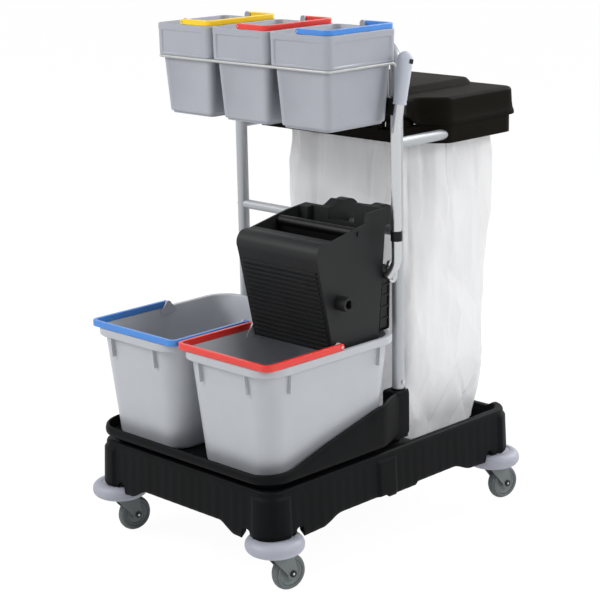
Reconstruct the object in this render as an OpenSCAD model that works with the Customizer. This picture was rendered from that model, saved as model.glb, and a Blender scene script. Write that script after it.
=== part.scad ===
// Two-bucket cleaning trolley with mop press, pail rack and waste-bag holder.
// Millimetres, +Z up, origin on the floor under the middle of the four casters.
// The buckets stand at the front, towards -Y, and the bag hangs at the rear, towards +Y.

/* [Casters] */
// Distance of each caster stem from the middle plane, across
stem_x = 237; // [225:1:250]
// Distance of each caster stem from the middle plane, along
stem_y = 341; // [330:1:352]
// How far the casters' middle lies in front of the base's middle
stem_shift = 4; // [0:1:8]
// Wheel diameter over the tyre
wheel_d = 75; // [65:1:85]
// Wheel width over the tyre
wheel_w = 22; // [18:1:26]
// Diameter of the wheel hub under the tyre
hub_d = 54; // [44:1:58]
// How far the axle trails behind the stem
caster_trail = 31; // [26:1:36]
// Turn of the casters at rest, from straight
caster_yaw = -9; // [-20:1:20]
// Axle diameter
axle_d = 8; // [6:0.5:10]
// Stem diameter
stem_d = 11; // [9:0.5:13]
// How far a stem reaches up into the base
stem_rise = 30; // [24:1:34]
// Thickness of the fork's cheeks
fork_wall = 3.5; // [2.5:0.5:5]
// Bumper disc diameter
bumper_d = 120; // [110:1:126]
// Bumper disc height
bumper_h = 32; // [26:1:38]

/* [Base] */
// Width of the base at its top edge
base_w = 532; // [520:2:544]
// Length of the base at its top edge
base_l = 762; // [750:2:776]
// How far the skirt leans out on each side
base_flare = 5; // [2:1:10]
// Height of the base, skirt lobes included
base_h = 109; // [95:1:120]
// Corner radius of the base
base_r = 42; // [34:1:52]
// Skirt and floor thickness of the base
base_wall = 8; // [6:0.5:11]
// How far the skirt lobes hang below the bumper tops
skirt_drop = 9; // [4:1:14]
// Height of the skirt's arches over its lobes
skirt_arch = 22; // [14:1:28]
// Depth of the bag well in the rear half
well_depth = 52; // [40:1:60]
// Width of the rim round the bag well
well_rim = 22; // [16:1:26]
// How far the deck under the tray lies below the rear rim
deck_drop = 10; // [6:1:14]
// Width of the notch over each bumper's edge
notch_w = 22; // [12:1:24]
// Height of that notch over the bumper's top
notch_h = 11; // [6:1:16]

/* [Bucket tray] */
// Width of the tray
tray_w = 532; // [524:2:544]
// How far the tray reaches past the base's front edge
tray_nose = 9; // [2:1:16]
// Height of the tray's front lip
tray_lip = 32; // [26:1:40]
// Height of the tray's floor above the base
tray_step = 12; // [9:1:16]
// How far the tray's foot stands in under its rim
tray_ledge = 10; // [4:1:14]
// Height of the towers that hold the posts
tower_h = 112; // [108:1:130]
// Thickness of the tray's floor
tray_t = 4; // [3:0.5:6]
// Thickness of the tray's walls
tray_wall = 8; // [5:0.5:9]
// Gap between a bucket's foot and the tray's side wall
foot_room = 20; // [12:1:28]

/* [Buckets] */
// Width of a bucket over its rim
bucket_w = 268; // [260:1:269]
// Length of a bucket over its rim
bucket_l = 390; // [376:1:394]
// Height of a bucket
bucket_h = 236; // [222:1:244]
// How far a bucket's front and rear walls lean in down to the bottom
bucket_draft = 22; // [16:1:28]
// How far the rim stands out past the wall
bucket_rim = 9; // [6:0.5:10]
// Height of the rim
bucket_rim_h = 16; // [12:1:20]
// Bucket wall thickness
bucket_wall = 3; // [2.5:0.5:4]
// Bucket corner radius at the rim
bucket_r = 58; // [45:1:65]
// Gap between the two buckets
bucket_gap = 2; // [1:0.5:4]
// Bail strap width
bail_w = 9; // [7:0.5:10]
// Bail strap height
bail_h = 13; // [10:0.5:15]
// Bail pin diameter on a bucket
bail_pin_d = 6; // [4:0.5:7]
// Bail pivot, behind the middle of the bucket
bail_back = 15; // [0:1:30]

/* [Frame] */
// Diameter of the hoop tube
post_d = 25.4; // [22:0.1:28]
// Wall of the tubes
tube_t = 1.5; // [1:0.25:2.5]
// Distance of each post from the middle plane
post_x = 228; // [222:1:232]
// Posts' place along the cart, from the middle
post_y = 33; // [28:1:38]
// Height of the hoop's top bar above the base
hoop_h = 829; // [810:1:850]
// Bend radius of the hoop
hoop_bend = 32; // [26:1:60]
// Diameter of the crossbar
crossbar_d = 20; // [16:0.5:22]
// Height of the crossbar above the base
crossbar_h = 449; // [440:1:458]

/* [Pails and rack] */
// Width of a pail over its rim
pail_w = 164; // [154:1:165]
// Length of a pail over its rim
pail_l = 198; // [188:1:202]
// Distance between neighbouring pails
pail_pitch = 166.5; // [166:0.5:170]
// Height of a pail
pail_h = 188; // [172:1:202]
// Height of the pail's upper skirt
pail_skirt_h = 65; // [55:1:75]
// Inset of the pail's body under the skirt
pail_inset = 8; // [8:0.5:14]
// How far the pail's body leans in down to the bottom
pail_draft = 8; // [5:1:12]
// Pail wall thickness
pail_wall = 2.5; // [2:0.5:3.5]
// Pail bail strap width
pail_bail = 8; // [6:0.5:9]
// Pail bail strap height
pail_bail_h = 11; // [8:0.5:13]
// Bail pin diameter on a pail
pail_pin_d = 4; // [3:0.5:5]
// Diameter of the rack's wire
wire_d = 6; // [5:0.5:8]
// Height of the rack's wire above the base
rack_h = 795.7; // [780:0.1:805]
// Length of the rack's legs down the posts
rack_leg = 105; // [90:1:115]

/* [Press] */
// Width of the press housing
press_w = 226; // [212:1:230]
// Depth of the press below the crossbar
press_drop = 211; // [195:1:214]
// Wall thickness of the housing
press_wall = 5; // [4:0.5:6]
// Number of ribs on the front
press_ribs = 17; // [11:1:19]
// Width of each hook over the crossbar
hook_w = 28; // [20:1:32]
// Radius of each hook's back
hook_r = 31; // [28:0.5:32]
// Diameter of the lever's shaft
shaft_d = 16; // [14:0.5:18]
// Diameter of the jaw's shaft
jaw_shaft_d = 10; // [8:0.5:12]
// Thickness of the jaw
jaw_t = 12; // [8:1:14]
// Distance of the jaw's pivot in front of the posts
jaw_front = 138; // [132:1:142]
// Height of the jaw's pivot above the crossbar
jaw_rise = 20; // [14:1:24]
// Distance of the lever's shaft in front of the posts
shaft_front = 49; // [47:1:52]
// Depth of the lever's shaft below the crossbar
shaft_drop = 81; // [76:1:86]
// How far the brackets reach above the lever's shaft
bracket_over = 20; // [15:1:24]
// Radius of the roll under the press's lip
roll_r = 25; // [18:1:28]
// Reach of the cams that push the jaw
cam_reach = 58; // [45:1:60]
// Lever tube diameter
lever_d = 20; // [18:0.5:22]
// Height of the lever's straight run above its shaft
lever_h = 290; // [275:1:300]
// Length of the lever's leaning top
lean_l = 148; // [140:1:156]
// Where the grip starts along the leaning top
grip_start = 54; // [46:1:60]
// Length of the lever's grip
grip_l = 105; // [90:1:115]
// Grip diameter
grip_d = 31; // [28:0.5:34]
// Diameter of the side socket's bore
socket_d = 18; // [14:0.5:20]
// Height of the lever's clip band above the end of the straight run
band_rise = 17; // [4:1:24]
// Distance of the side socket in front of the posts
socket_front = 197; // [188:1:204]
// Depth of the side socket below the crossbar
socket_drop = 108; // [98:1:118]
// Length of the side socket's boss
boss_l = 28; // [25:1:34]

/* [Bag holder] */
// Width of the holder at the rear
holder_w = 486; // [480:2:500]
// Width of the holder's neck between the posts
neck_w = 380; // [360:2:390]
// Rear edge of the holder, from the middle
holder_rear = 400; // [390:1:404]
// Height of the bag tubes above the base
bag_tube_h = 630; // [615:1:645]
// Diameter of the bag tubes
bag_tube_d = 22; // [18:0.5:24]
// Height of the ring that holds the bag
ring_h = 36; // [32:1:40]
// How far the ring's front rail is cut away from below
neck_lift = 12; // [6:1:16]
// Height of the lid's skirt
lid_h = 58; // [50:1:66]
// Rise of the lid's middle panel
lid_rise = 14; // [8:1:20]
// Width of the lid's middle panel
lid_panel_w = 236; // [200:2:260]
// Thickness of the lid
lid_t = 5; // [4:0.5:7]
// How far the lid reaches past the ring at the rear
lid_over = 13; // [8:1:18]
// Width of the ring's rear rail
ring_rear = 18; // [14:1:26]
// Length of the bag where it narrows, in the well
bag_low_l = 232; // [210:1:240]
// Length of the bag's bottom
bag_foot_l = 172; // [150:1:190]
// Lid hinge pin diameter
lid_pin_d = 6; // [5:0.5:8]

/* [Hidden] */
$fn = 64;

// Clearances
eps = 0.01;
run_gap = 0.05;
seat_gap = 0.3;

// Colours
foam_black = "#26272a";
charcoal = "#35363a";
pail_grey = "#b3b5b9";
bumper_grey = "#a9abb5";
caster_grey = "#6f7677";
steel = "#c3c6c9";
blue = "#3f86d8";
red = "#e8332a";
yellow = "#ffd000";

// Corners of the running gear: side across, side along
corners = [[-1, -1], [1, -1], [-1, 1], [1, 1]];

// Heights of the running gear
axle_z = wheel_d / 2;
fork_under = wheel_d + 1.5;
fork_plate = 7.5;
fork_top = fork_under + fork_plate;
bumper_z = fork_top + 4;
bumper_top = bumper_z + bumper_h;
bumper_recess = bumper_h - 10;
stem_collar = 1.7;
boss_top = bumper_z + bumper_recess - stem_collar - seat_gap;
fork_boss_r = stem_d / 2 + 12.5;
fork_side = wheel_w / 2 + 2;

// Heights of the chassis
base_low = bumper_top - skirt_drop;
base_top = base_low + base_h;
deck_z = base_top - deck_drop;
well_floor = base_top - well_depth;
tray_floor = base_top + tray_step;
tower_top = base_top + tower_h;
post_foot = tray_floor;
hoop_top = base_top + hoop_h;
crossbar_z = base_top + crossbar_h;
rack_z = base_top + rack_h;
bag_tube_z = base_top + bag_tube_h;
bag_tube_end = post_y + 200;

// Plan of the chassis
bumper_side = bumper_d / 2 - 15;
deck_split = post_y + 31;
well_front = deck_split + 12;
well_l = base_l / 2 - well_rim - well_front;
well_y = well_front + well_l / 2;
tray_front = -base_l / 2 - tray_nose;
tray_rear = post_y + post_d / 2 + 3.3;
tower_in = post_x - 22;
tower_out = post_x + post_d / 2 + 3.3;

// Buckets
bucket_x = (bucket_w + bucket_gap) / 2;
bucket_rear = post_y - 28;
bucket_y = bucket_rear - bucket_l / 2;
bucket_rim_z = tray_floor + bucket_h;
bail_z = bucket_rim_z + seat_gap + bail_h / 2;
bail_y = bucket_y + bail_back;
bail_out = bucket_w / 2 - 2;

// Pails
pail_y = post_y - 20 - pail_l / 2;
pail_skirt_z = rack_z + wire_d / 2 + seat_gap;
pail_rim_z = pail_skirt_z + pail_skirt_h;
pail_bottom = pail_rim_z - pail_h;
pail_r = 14;
pail_bail_z = pail_rim_z + seat_gap + pail_bail_h / 2;
rack_x = pail_pitch + pail_w / 2 - 3;
rack_front = pail_y - pail_l / 2 + 3;
rack_rear = pail_y + pail_l / 2 - 3;
rack_bend = 11;
leg_x = post_x - 3;

// Press, set out from the crossbar that it hangs on
press_x0 = bucket_x - press_w / 2;
press_x1 = press_x0 + press_w;
press_low = crossbar_z - press_drop;
press_rear_top = [post_y - 55, crossbar_z + 61];
ear_front = [post_y - 113, crossbar_z + 58];
ear_foot = [post_y - 117, crossbar_z + 37];
press_rear_low = [post_y - 83, press_low];
press_front_low = [post_y - 213, press_low];
press_front_high = [post_y - 252, crossbar_z - 33];
roll_c = [post_y - 233, crossbar_z - 8];
press_lip = roll_c + [11, roll_r - 1];
shaft_y = post_y - shaft_front;
shaft_z = crossbar_z - shaft_drop;
jaw_y = post_y - jaw_front;
jaw_z = crossbar_z + jaw_rise;
jaw_drop = press_drop - 10;
jaw_barrel_r = jaw_shaft_d / 2 + 6;
hook_x = press_w / 2 - 63;
boss_y = post_y - socket_front;
boss_z = crossbar_z - socket_drop;
boss_r = socket_d / 2 + 6;
bracket_t = 8;
bracket_x = press_w / 2 - 22;
cam_x = 18;
cam_t = 12;

// Lever, outside the bucket's bail
lever_x = bucket_x + bucket_w / 2 + lever_d / 2 + 1;
foot_x = press_x1 + 4;
foot_t = 8;
foot_w = shaft_d + 10;
bolt_d = 8;
lever_y = shaft_y - 12;
lever_bend = 40;
knee_turn = 35;
knee_x = foot_x + lever_d / 2;
knee_z = shaft_z + 24;
knee_l = (lever_x - knee_x - lever_bend * (1 - cos(knee_turn))) / sin(knee_turn);
lever_low = knee_z + knee_l * cos(knee_turn) + lever_bend * sin(knee_turn);
lever_high = shaft_z + lever_h;
lean_turn = 11;
lean_y = lever_y + lever_bend * (1 - cos(lean_turn));
lean_z = lever_high + lever_bend * sin(lean_turn);
lever_path = concat(
  [[knee_x, lever_y, knee_z]],
  [for (a = [knee_turn:-knee_turn / 5:0])
    [lever_x - lever_bend * (1 - cos(a)), lever_y, lever_low - lever_bend * sin(a)]],
  [for (a = [0:lean_turn / 2:lean_turn])
    [lever_x, lever_y + lever_bend * (1 - cos(a)), lever_high + lever_bend * sin(a)]],
  [[lever_x, lean_y + lean_l * sin(lean_turn), lean_z + lean_l * cos(lean_turn)]]);

// Bag holder
ring_z = bag_tube_z - ring_h / 2;
ring_top = ring_z + ring_h;
lid_z = ring_top + seat_gap;
lid_top = lid_z + lid_h;
holder_front = post_y + 26;
neck_end = holder_front + 70;
flare_end = neck_end + 60;
holder_r = 34;
ring_wall = holder_w / 2 - post_x + bag_tube_d / 2 + 10;
mouth_rear = holder_rear + ring_wall - ring_rear;
hinge_y = holder_front + 5;
hinge_z = lid_z + 7;
hinge_x = neck_w / 2 - 45;
knuckle_w = 16;
knuckle_r = lid_pin_d / 2 + 3;

// Points of an arc round c
function arc(c, r, a0, a1, n = 8) =
  [for (i = [0:n]) let (a = a0 + (a1 - a0) * i / n) c + r * [cos(a), sin(a)]];

// Outline of a rectangle with round corners, about its middle
function round_rect(w, l, r) = concat(
  arc([w / 2 - r, l / 2 - r], r, 0, 90), arc([r - w / 2, l / 2 - r], r, 90, 180),
  arc([r - w / 2, r - l / 2], r, 180, 270), arc([w / 2 - r, r - l / 2], r, 270, 360));

function unit(v) = v / norm(v);

// Smooth step from 0 to 1
function ease(t) = let (u = min(1, max(0, t))) u * u * (3 - 2 * u);

// Half width of the bag holder at y, drawn in to the neck between the posts
function holder_half(y) = neck_w / 2
  + (holder_w - neck_w) / 2 * ease((y - neck_end) / (flare_end - neck_end));

// Right half of the bag holder's outline, moved in by inset
function holder_side(inset, rear) = let (r = max(holder_r - inset, 10)) concat(
  [[neck_w / 2 - inset, holder_front + inset]],
  [for (i = [0:8]) let (y = neck_end + (flare_end - neck_end) * i / 8) [holder_half(y) - inset, y]],
  arc([holder_w / 2 - inset - r, rear - inset - r], r, 0, 90, 6));

// Whole outline of the bag holder
function holder_outline(inset, rear) = let (side = holder_side(inset, rear)) concat(
  side, [for (i = [len(side) - 1:-1:0]) [-side[i].x, side[i].y]]);

// A flat outline drawn in (Y, Z) and extruded along X
module across_x(x0, w) translate([x0, 0, 0]) rotate([90, 0, 90]) linear_extrude(w) children();

// A flat outline drawn in (X, Z) and extruded along Y
module along_y(y0, l) translate([0, y0 + l, 0]) rotate([90, 0, 0]) linear_extrude(l) children();

module pin_x(x0, l, d, y, z) translate([x0, y, z]) rotate([0, 90, 0]) cylinder(d = d, h = l);

module pin_y(y0, l, d, x, z) translate([x, y0, z]) rotate([-90, 0, 0]) cylinder(d = d, h = l);

module slab(w, l, r, z, h) translate([0, 0, z]) linear_extrude(h) polygon(round_rect(w, l, r));

// A tub form between two round-cornered outlines
module tub(w0, l0, r0, z0, w1, l1, r1, z1) hull() {
  slab(w0, l0, r0, z0, eps);
  slab(w1, l1, r1, z1 - eps, eps);
}

// A straight round bar between two points
module rod(a, b, r) let (d = b - a, l = norm(d))
  translate(a) rotate([0, acos(d.z / l), atan2(d.y, d.x)]) cylinder(r = r, h = l);

// A round elbow at p that turns from direction d1 to d2
module elbow(p, d1, d2, bend, r) {
  turn = acos(d1 * d2);
  n = unit(d2 - d1 * (d1 * d2));
  k = cross(d1, n);
  c = p - d1 * bend * tan(turn / 2) + n * bend;
  multmatrix([[-n.x, d1.x, k.x, c.x], [-n.y, d1.y, k.y, c.y], [-n.z, d1.z, k.z, c.z], [0, 0, 0, 1]])
    rotate_extrude(angle = turn) translate([bend, 0]) circle(r = r);
}

// A bent round bar through the points, with the same bend radius at each corner
module bent_bar(points, bend, r) {
  last = len(points) - 1;
  dirs = [for (i = [0:last - 1]) unit(points[i + 1] - points[i])];
  cuts = [for (i = [0:last]) i == 0 || i == last ? 0 : bend * tan(acos(dirs[i - 1] * dirs[i]) / 2)];
  for (i = [0:last - 1])
    rod(points[i] + dirs[i] * cuts[i], points[i + 1] - dirs[i] * cuts[i + 1], r);
  for (i = [1:last - 1]) elbow(points[i], dirs[i - 1], dirs[i], bend, r);
}

// A round bar swept along a path of points that never runs along -X
module swept_bar(path, r, sides = 32) {
  last = len(path) - 1;
  rings = [for (i = [0:last]) let (
      t = unit(path[min(i + 1, last)] - path[max(i - 1, 0)]),
      u = unit(cross(t, [1, 1, 0])), v = cross(t, u))
    for (k = [0:sides - 1]) path[i] + r * (u * cos(360 * k / sides) + v * sin(360 * k / sides))];
  polyhedron(rings, concat(
    [[for (k = [0:sides - 1]) k]], [[for (k = [sides - 1:-1:0]) last * sides + k]],
    [for (i = [0:last - 1], k = [0:sides - 1]) let (j = (k + 1) % sides)
      [i * sides + k, (i + 1) * sides + k, (i + 1) * sides + j, i * sides + j]]));
}

// Place of the stem at a corner
function stem_at(c) = [c.x * stem_x, c.y * stem_y - stem_shift, 0];

// Places its children at caster i, with the caster's own turn
module at_caster(i) translate(stem_at(corners[i])) rotate(caster_yaw) children();

module at_stems() for (c = corners) translate(stem_at(c)) children();

// An upright notch with a round top, about its middle
module notch() {
  r = notch_w / 2;
  translate([0, bumper_top + notch_h - r]) circle(r = r);
  translate([-r, base_low - 1]) square([notch_w, bumper_top + notch_h - r - base_low + 1]);
}

// Arches cut into the skirt's lower edge between the lobes, and a notch beside each bumper
module skirt_arches() {
  mid = 25;
  foot = skirt_arch * 1.3;
  side = stem_y - bumper_d / 2 - 88;
  front = stem_x - bumper_d / 2 - 58;
  top = base_low + skirt_arch;
  across_x(-base_w, 2 * base_w) {
    polygon([
      [-side - foot, base_low - 1], [-side, top], [-mid - 6, top], [-mid, top - 7],
      [mid, top - 7], [mid + 6, top], [side, top], [side + foot, base_low - 1]]);
    for (s = [-1, 1]) translate([s * (stem_y - bumper_side) - stem_shift, 0]) notch();
  }
  along_y(-base_l, 2 * base_l) {
    polygon([
      [-front - foot, base_low - 1], [-front, top + 3], [front, top + 3], [front + foot, base_low - 1]]);
    for (s = [-1, 1]) translate([s * (stem_x - bumper_side), 0]) notch();
  }
}

// Room for a bumper under the skirt, open to the outside of its corner
module bumper_room(c) translate(stem_at(c) + [0, 0, base_low - 1]) {
  h = skirt_drop + 1 + seat_gap;
  cylinder(d = bumper_d + 12, h = h);
  translate([c.x > 0 ? 0 : -base_w, -bumper_side, 0]) cube([base_w, 2 * bumper_side, h]);
  translate([-bumper_side, c.y > 0 ? 0 : -base_l, 0]) cube([2 * bumper_side, base_l, h]);
}

module base() color(foam_black) difference() {
  union() {
    difference() {
      tub(base_w + 2 * base_flare, base_l + 2 * base_flare, base_r + 3, base_low,
          base_w, base_l, base_r, base_top);
      translate([-base_w, -base_l, deck_z])
        cube([2 * base_w, base_l + tray_rear + seat_gap, base_h]);
      translate([0, (deck_split - base_l / 2) / 2, 0])
        slab(base_w - 2 * base_wall, deck_split + base_l / 2 - 2 * base_wall, base_r - base_wall,
             base_low - 1, deck_z - base_wall - base_low + 1);
      translate([0, (deck_split + base_l / 2) / 2, 0])
        slab(base_w - 2 * base_wall, base_l / 2 - deck_split - 2 * base_wall, base_r - base_wall,
             base_low - 1, well_floor - base_wall - base_low + 1);
      translate([0, well_y, 0])
        slab(base_w - 2 * well_rim, well_l, base_r - well_rim, well_floor, well_depth + 1);
      skirt_arches();
      for (c = corners) bumper_room(c);
    }
    for (c = corners) translate(stem_at(c) + [0, 0, bumper_top])
      cylinder(d = stem_d + 33, h = (c.y < 0 ? deck_z : well_floor) - base_wall - bumper_top + eps);
  }
  at_stems() translate([0, 0, bumper_top - 1])
    cylinder(d = stem_d + 2 * run_gap, h = stem_rise + 2);
}

// Side view of the tray: low lip at the front, walls that climb to the towers
module tray_side_view() polygon([
  [tray_front - 1, deck_z], [tray_rear + 1, deck_z], [tray_rear + 1, tower_top],
  [post_y - 58, tower_top - 2], [post_y - 78, base_top + tray_lip + 75],
  [post_y - 104, base_top + tray_lip + 70], [post_y - 245, base_top + tray_lip + 35],
  [post_y - 340, base_top + tray_lip + 5], [tray_front - 1, base_top + tray_lip]]);

// Plan of the tray, moved in by inset, drawn in to the towers up to bend and ended at rear
function tray_plan(inset, rear, bend = post_y - 20) = let (
    w = tray_w / 2 - inset, t = tower_out - inset, r = 60 - inset, front = tray_front + inset) concat(
  [[t, rear], [-t, rear], [-t, bend], [-w, post_y - 80]],
  arc([r - w, front + r], r, 180, 270), arc([w - r, front + r], r, 270, 360),
  [[w, post_y - 80], [t, bend]]);

module bucket_tray() color(foam_black) difference() {
  intersection() {
    union() {
      translate([0, 0, deck_z]) linear_extrude(tray_floor - deck_z)
        polygon(tray_plan(tray_ledge, tray_rear));
      translate([0, 0, tray_floor - tray_t]) linear_extrude(tower_h) polygon(tray_plan(0, tray_rear));
    }
    across_x(-tray_w, 2 * tray_w) tray_side_view();
  }
  translate([0, 0, deck_z - 1]) linear_extrude(tray_floor - tray_t - deck_z + 1)
    polygon(tray_plan(tray_ledge + tray_wall, tray_rear - tray_wall));
  translate([0, 0, tray_floor]) linear_extrude(tower_h)
    polygon(tray_plan(tray_wall, bucket_rear, bucket_rear - tray_wall));
  translate([-tower_in, bucket_rear - 1, tray_floor])
    cube([2 * tower_in, tray_rear - bucket_rear + 2, tower_h]);
  for (s = [-1, 1]) translate([s * post_x, post_y, post_foot])
    cylinder(d = post_d + 2 * run_gap, h = tower_h);
}

module caster_stems() color(steel) at_stems() {
  translate([0, 0, fork_under + 0.5]) cylinder(d = stem_d, h = bumper_top + stem_rise - fork_under);
  translate([0, 0, boss_top + seat_gap]) cylinder(d = stem_d + 14, h = stem_collar);
}

module bumper(i) color(bumper_grey)
  translate(stem_at(corners[i]) + [0, 0, bumper_z]) difference() {
    union() {
      cylinder(d = bumper_d - bumper_h, h = bumper_h);
      translate([0, 0, bumper_h / 2]) rotate_extrude()
        translate([(bumper_d - bumper_h) / 2, 0]) circle(d = bumper_h);
    }
    translate([0, 0, -1]) cylinder(r = fork_boss_r + 4, h = bumper_recess + 1);
    cylinder(d = stem_d + 2 * run_gap, h = bumper_h + 1);
  }

module fork(i) color(caster_grey) at_caster(i) difference() {
  union() {
    translate([0, 0, fork_under]) cylinder(r = fork_boss_r, h = boss_top - fork_under);
    translate([-fork_side - fork_wall, -fork_boss_r + 4, fork_under])
      cube([2 * (fork_side + fork_wall), fork_boss_r + caster_trail, fork_plate]);
    for (s = [-1, 1]) across_x(s > 0 ? fork_side : -fork_side - fork_wall, fork_wall) {
      translate([caster_trail, axle_z]) circle(d = axle_d + 16);
      polygon([[4 - fork_boss_r, fork_top], [4 - fork_boss_r, fork_under],
        [caster_trail - axle_d / 2 - 8, axle_z], [caster_trail + axle_d / 2 + 8, axle_z],
        [caster_trail + 4, fork_under], [caster_trail + 4, fork_top]]);
    }
  }
  translate([0, 0, fork_under - 1]) cylinder(d = stem_d + 2 * run_gap, h = bumper_h + fork_plate + 5);
  pin_x(-fork_side - fork_wall - 1, 2 * (fork_side + fork_wall + 1), axle_d + 2 * run_gap,
        caster_trail, axle_z);
}

module axle(i) color(steel) at_caster(i) {
  reach = fork_side + fork_wall;
  pin_x(-reach, 2 * reach, axle_d, caster_trail, axle_z);
  for (x = [-reach - 3, reach]) pin_x(x, 3, axle_d + 6, caster_trail, axle_z);
}

module hub(i) color(caster_grey) at_caster(i) difference() {
  union() {
    pin_x(-wheel_w / 2 + 2, wheel_w - 4, hub_d, caster_trail, axle_z);
    pin_x(-wheel_w / 2, wheel_w, axle_d + 10, caster_trail, axle_z);
  }
  pin_x(-wheel_w, 2 * wheel_w, axle_d + 2 * run_gap, caster_trail, axle_z);
}

module tyre(i) color(caster_grey) at_caster(i) translate([0, caster_trail, axle_z]) rotate([0, 90, 0])
  rotate_extrude() difference() {
    translate([hub_d / 2, -wheel_w / 2]) square([(wheel_d - hub_d) / 2, wheel_w]);
    for (s = [-1, 1]) translate([wheel_d / 2, s * wheel_w / 2]) circle(r = 4);
  }

module hoop_line(r) bent_bar([
  [-post_x, post_y, post_foot], [-post_x, post_y, hoop_top],
  [post_x, post_y, hoop_top], [post_x, post_y, post_foot]], hoop_bend, r);

module frame_hoop() color(steel) difference() {
  hoop_line(post_d / 2);
  hoop_line(post_d / 2 - tube_t);
}

// The outside of both posts, for fitting pieces against them
module post_cut(gap) for (s = [-1, 1])
  translate([s * post_x, post_y, post_foot]) cylinder(d = post_d + 2 * gap, h = hoop_h);

module crossbar() color(steel) difference() {
  pin_x(-post_x, 2 * post_x, crossbar_d, post_y, crossbar_z);
  pin_x(-post_x - 1, 2 * post_x + 2, crossbar_d - 2 * tube_t, post_y, crossbar_z);
  post_cut(eps);
}

module bag_tubes() color(steel) difference() {
  for (s = [-1, 1]) pin_y(post_y, bag_tube_end - post_y, bag_tube_d, s * post_x, bag_tube_z);
  for (s = [-1, 1])
    pin_y(post_y - 1, bag_tube_end - post_y + 2, bag_tube_d - 2 * tube_t, s * post_x, bag_tube_z);
  post_cut(eps);
}

module frame_screws() color(steel) difference() {
  for (s = [-1, 1], z = [crossbar_z, tower_top + 18])
    pin_x(s > 0 ? post_x + 4 : -post_x - post_d / 2 - 3, post_d / 2 - 1, 9, post_y, z);
  post_cut(eps);
}

module wire_rack() color("#e4e4de") {
  for (s = [-1, 1]) bent_bar([
    [0, rack_front, rack_z], [s * rack_x, rack_front, rack_z], [s * rack_x, rack_rear, rack_z],
    [s * rack_x, rack_rear, rack_z - rack_leg]], rack_bend, wire_d / 2);
  for (s = [-1, 1]) bent_bar([
    [0, rack_rear, rack_z], [s * leg_x, rack_rear, rack_z], [s * leg_x, rack_rear, rack_z - rack_leg]],
    rack_bend, wire_d / 2);
  for (s = [-1, 1])
    rod([s * pail_pitch / 2, rack_front, rack_z], [s * pail_pitch / 2, rack_rear, rack_z], wire_d / 2);
}

// Clips that hold the rack's legs to the front of the posts
module rack_clips() color(foam_black) difference() {
  clip_h = 34;
  clip_z = rack_z - rack_leg + 1;
  for (s = [-1, 1]) translate([s * (rack_x + leg_x) / 2 - 18, rack_rear - 7, clip_z])
    cube([36, post_y - rack_rear + 7, clip_h]);
  for (s = [-1, 1], x = [leg_x, rack_x]) translate([s * x, rack_rear, clip_z - 1])
    cylinder(d = wire_d + 2 * run_gap, h = clip_h + 2);
  post_cut(eps);
}

// A pail about its own middle plane, with the lugs and pins for its bail
module pail(x) color(pail_grey) translate([x, pail_y, 0]) {
  w = pail_w - 2 * pail_inset;
  l = pail_l - 2 * pail_inset;
  lug = pail_l / 2 - 1 - pail_bail - seat_gap;
  difference() {
    union() {
      tub(w - 2 * pail_draft, l - 2 * pail_draft, pail_r, pail_bottom,
          w, l, pail_r, pail_skirt_z + pail_wall);
      tub(pail_w - 2, pail_l - 2, pail_r, pail_skirt_z, pail_w, pail_l, pail_r, pail_rim_z);
    }
    tub(w - 2 * pail_draft - 2 * pail_wall, l - 2 * pail_draft - 2 * pail_wall, pail_r - pail_wall,
        pail_bottom + pail_wall, w - 2 * pail_wall, l - 2 * pail_wall, pail_r - pail_wall,
        pail_skirt_z + pail_wall + eps);
    tub(pail_w - 2 - 2 * pail_wall, pail_l - 2 - 2 * pail_wall, pail_r - pail_wall, pail_skirt_z + pail_wall,
        pail_w - 2 * pail_wall, pail_l - 2 * pail_wall, pail_r - pail_wall, pail_rim_z + 1);
  }
  for (s = [-1, 1]) {
    across_x(-7, 14) polygon([
      [s * (pail_l / 2 - pail_wall / 2), pail_rim_z - 30], [s * (pail_l / 2 - pail_wall / 2), pail_rim_z - 1],
      [s * lug, pail_rim_z - 1], [s * lug, pail_bail_z + 5],
      [s * (lug - 4), pail_bail_z + 5], [s * (lug - 4), pail_rim_z - 16]]);
    pin_y(s > 0 ? lug - 1 : -lug - pail_bail - 1, pail_bail + 2, pail_pin_d, 0, pail_bail_z);
  }
}

// A flat U strap with an eye at each end, about its pivot line along Y, lying towards +X
module bail_strap(reach, span, strap, h, pin_d) {
  r = 18;
  difference() {
    union() {
      difference() {
        translate([0, 0, -h / 2]) linear_extrude(h) polygon(concat(
          [[0, -span / 2]], arc([reach - r, r - span / 2], r, 270, 360),
          arc([reach - r, span / 2 - r], r, 0, 90), [[0, span / 2]]));
        translate([0, 0, -h]) linear_extrude(2 * h) polygon(concat(
          [[-1, strap - span / 2]], arc([reach - r, r - span / 2], r - strap, 270, 360),
          arc([reach - r, span / 2 - r], r - strap, 0, 90), [[-1, span / 2 - strap]]));
      }
      for (y = [-span / 2, span / 2 - strap]) pin_y(y, strap, h, 0, 0);
    }
    pin_y(-span, 2 * span, pin_d + 2 * run_gap, 0, 0);
  }
}

module pail_bail_at(x, shade) color(shade) translate([x, pail_y, pail_bail_z])
  bail_strap(pail_w / 2 - 1, pail_l - 2, pail_bail, pail_bail_h, pail_pin_d);

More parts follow.
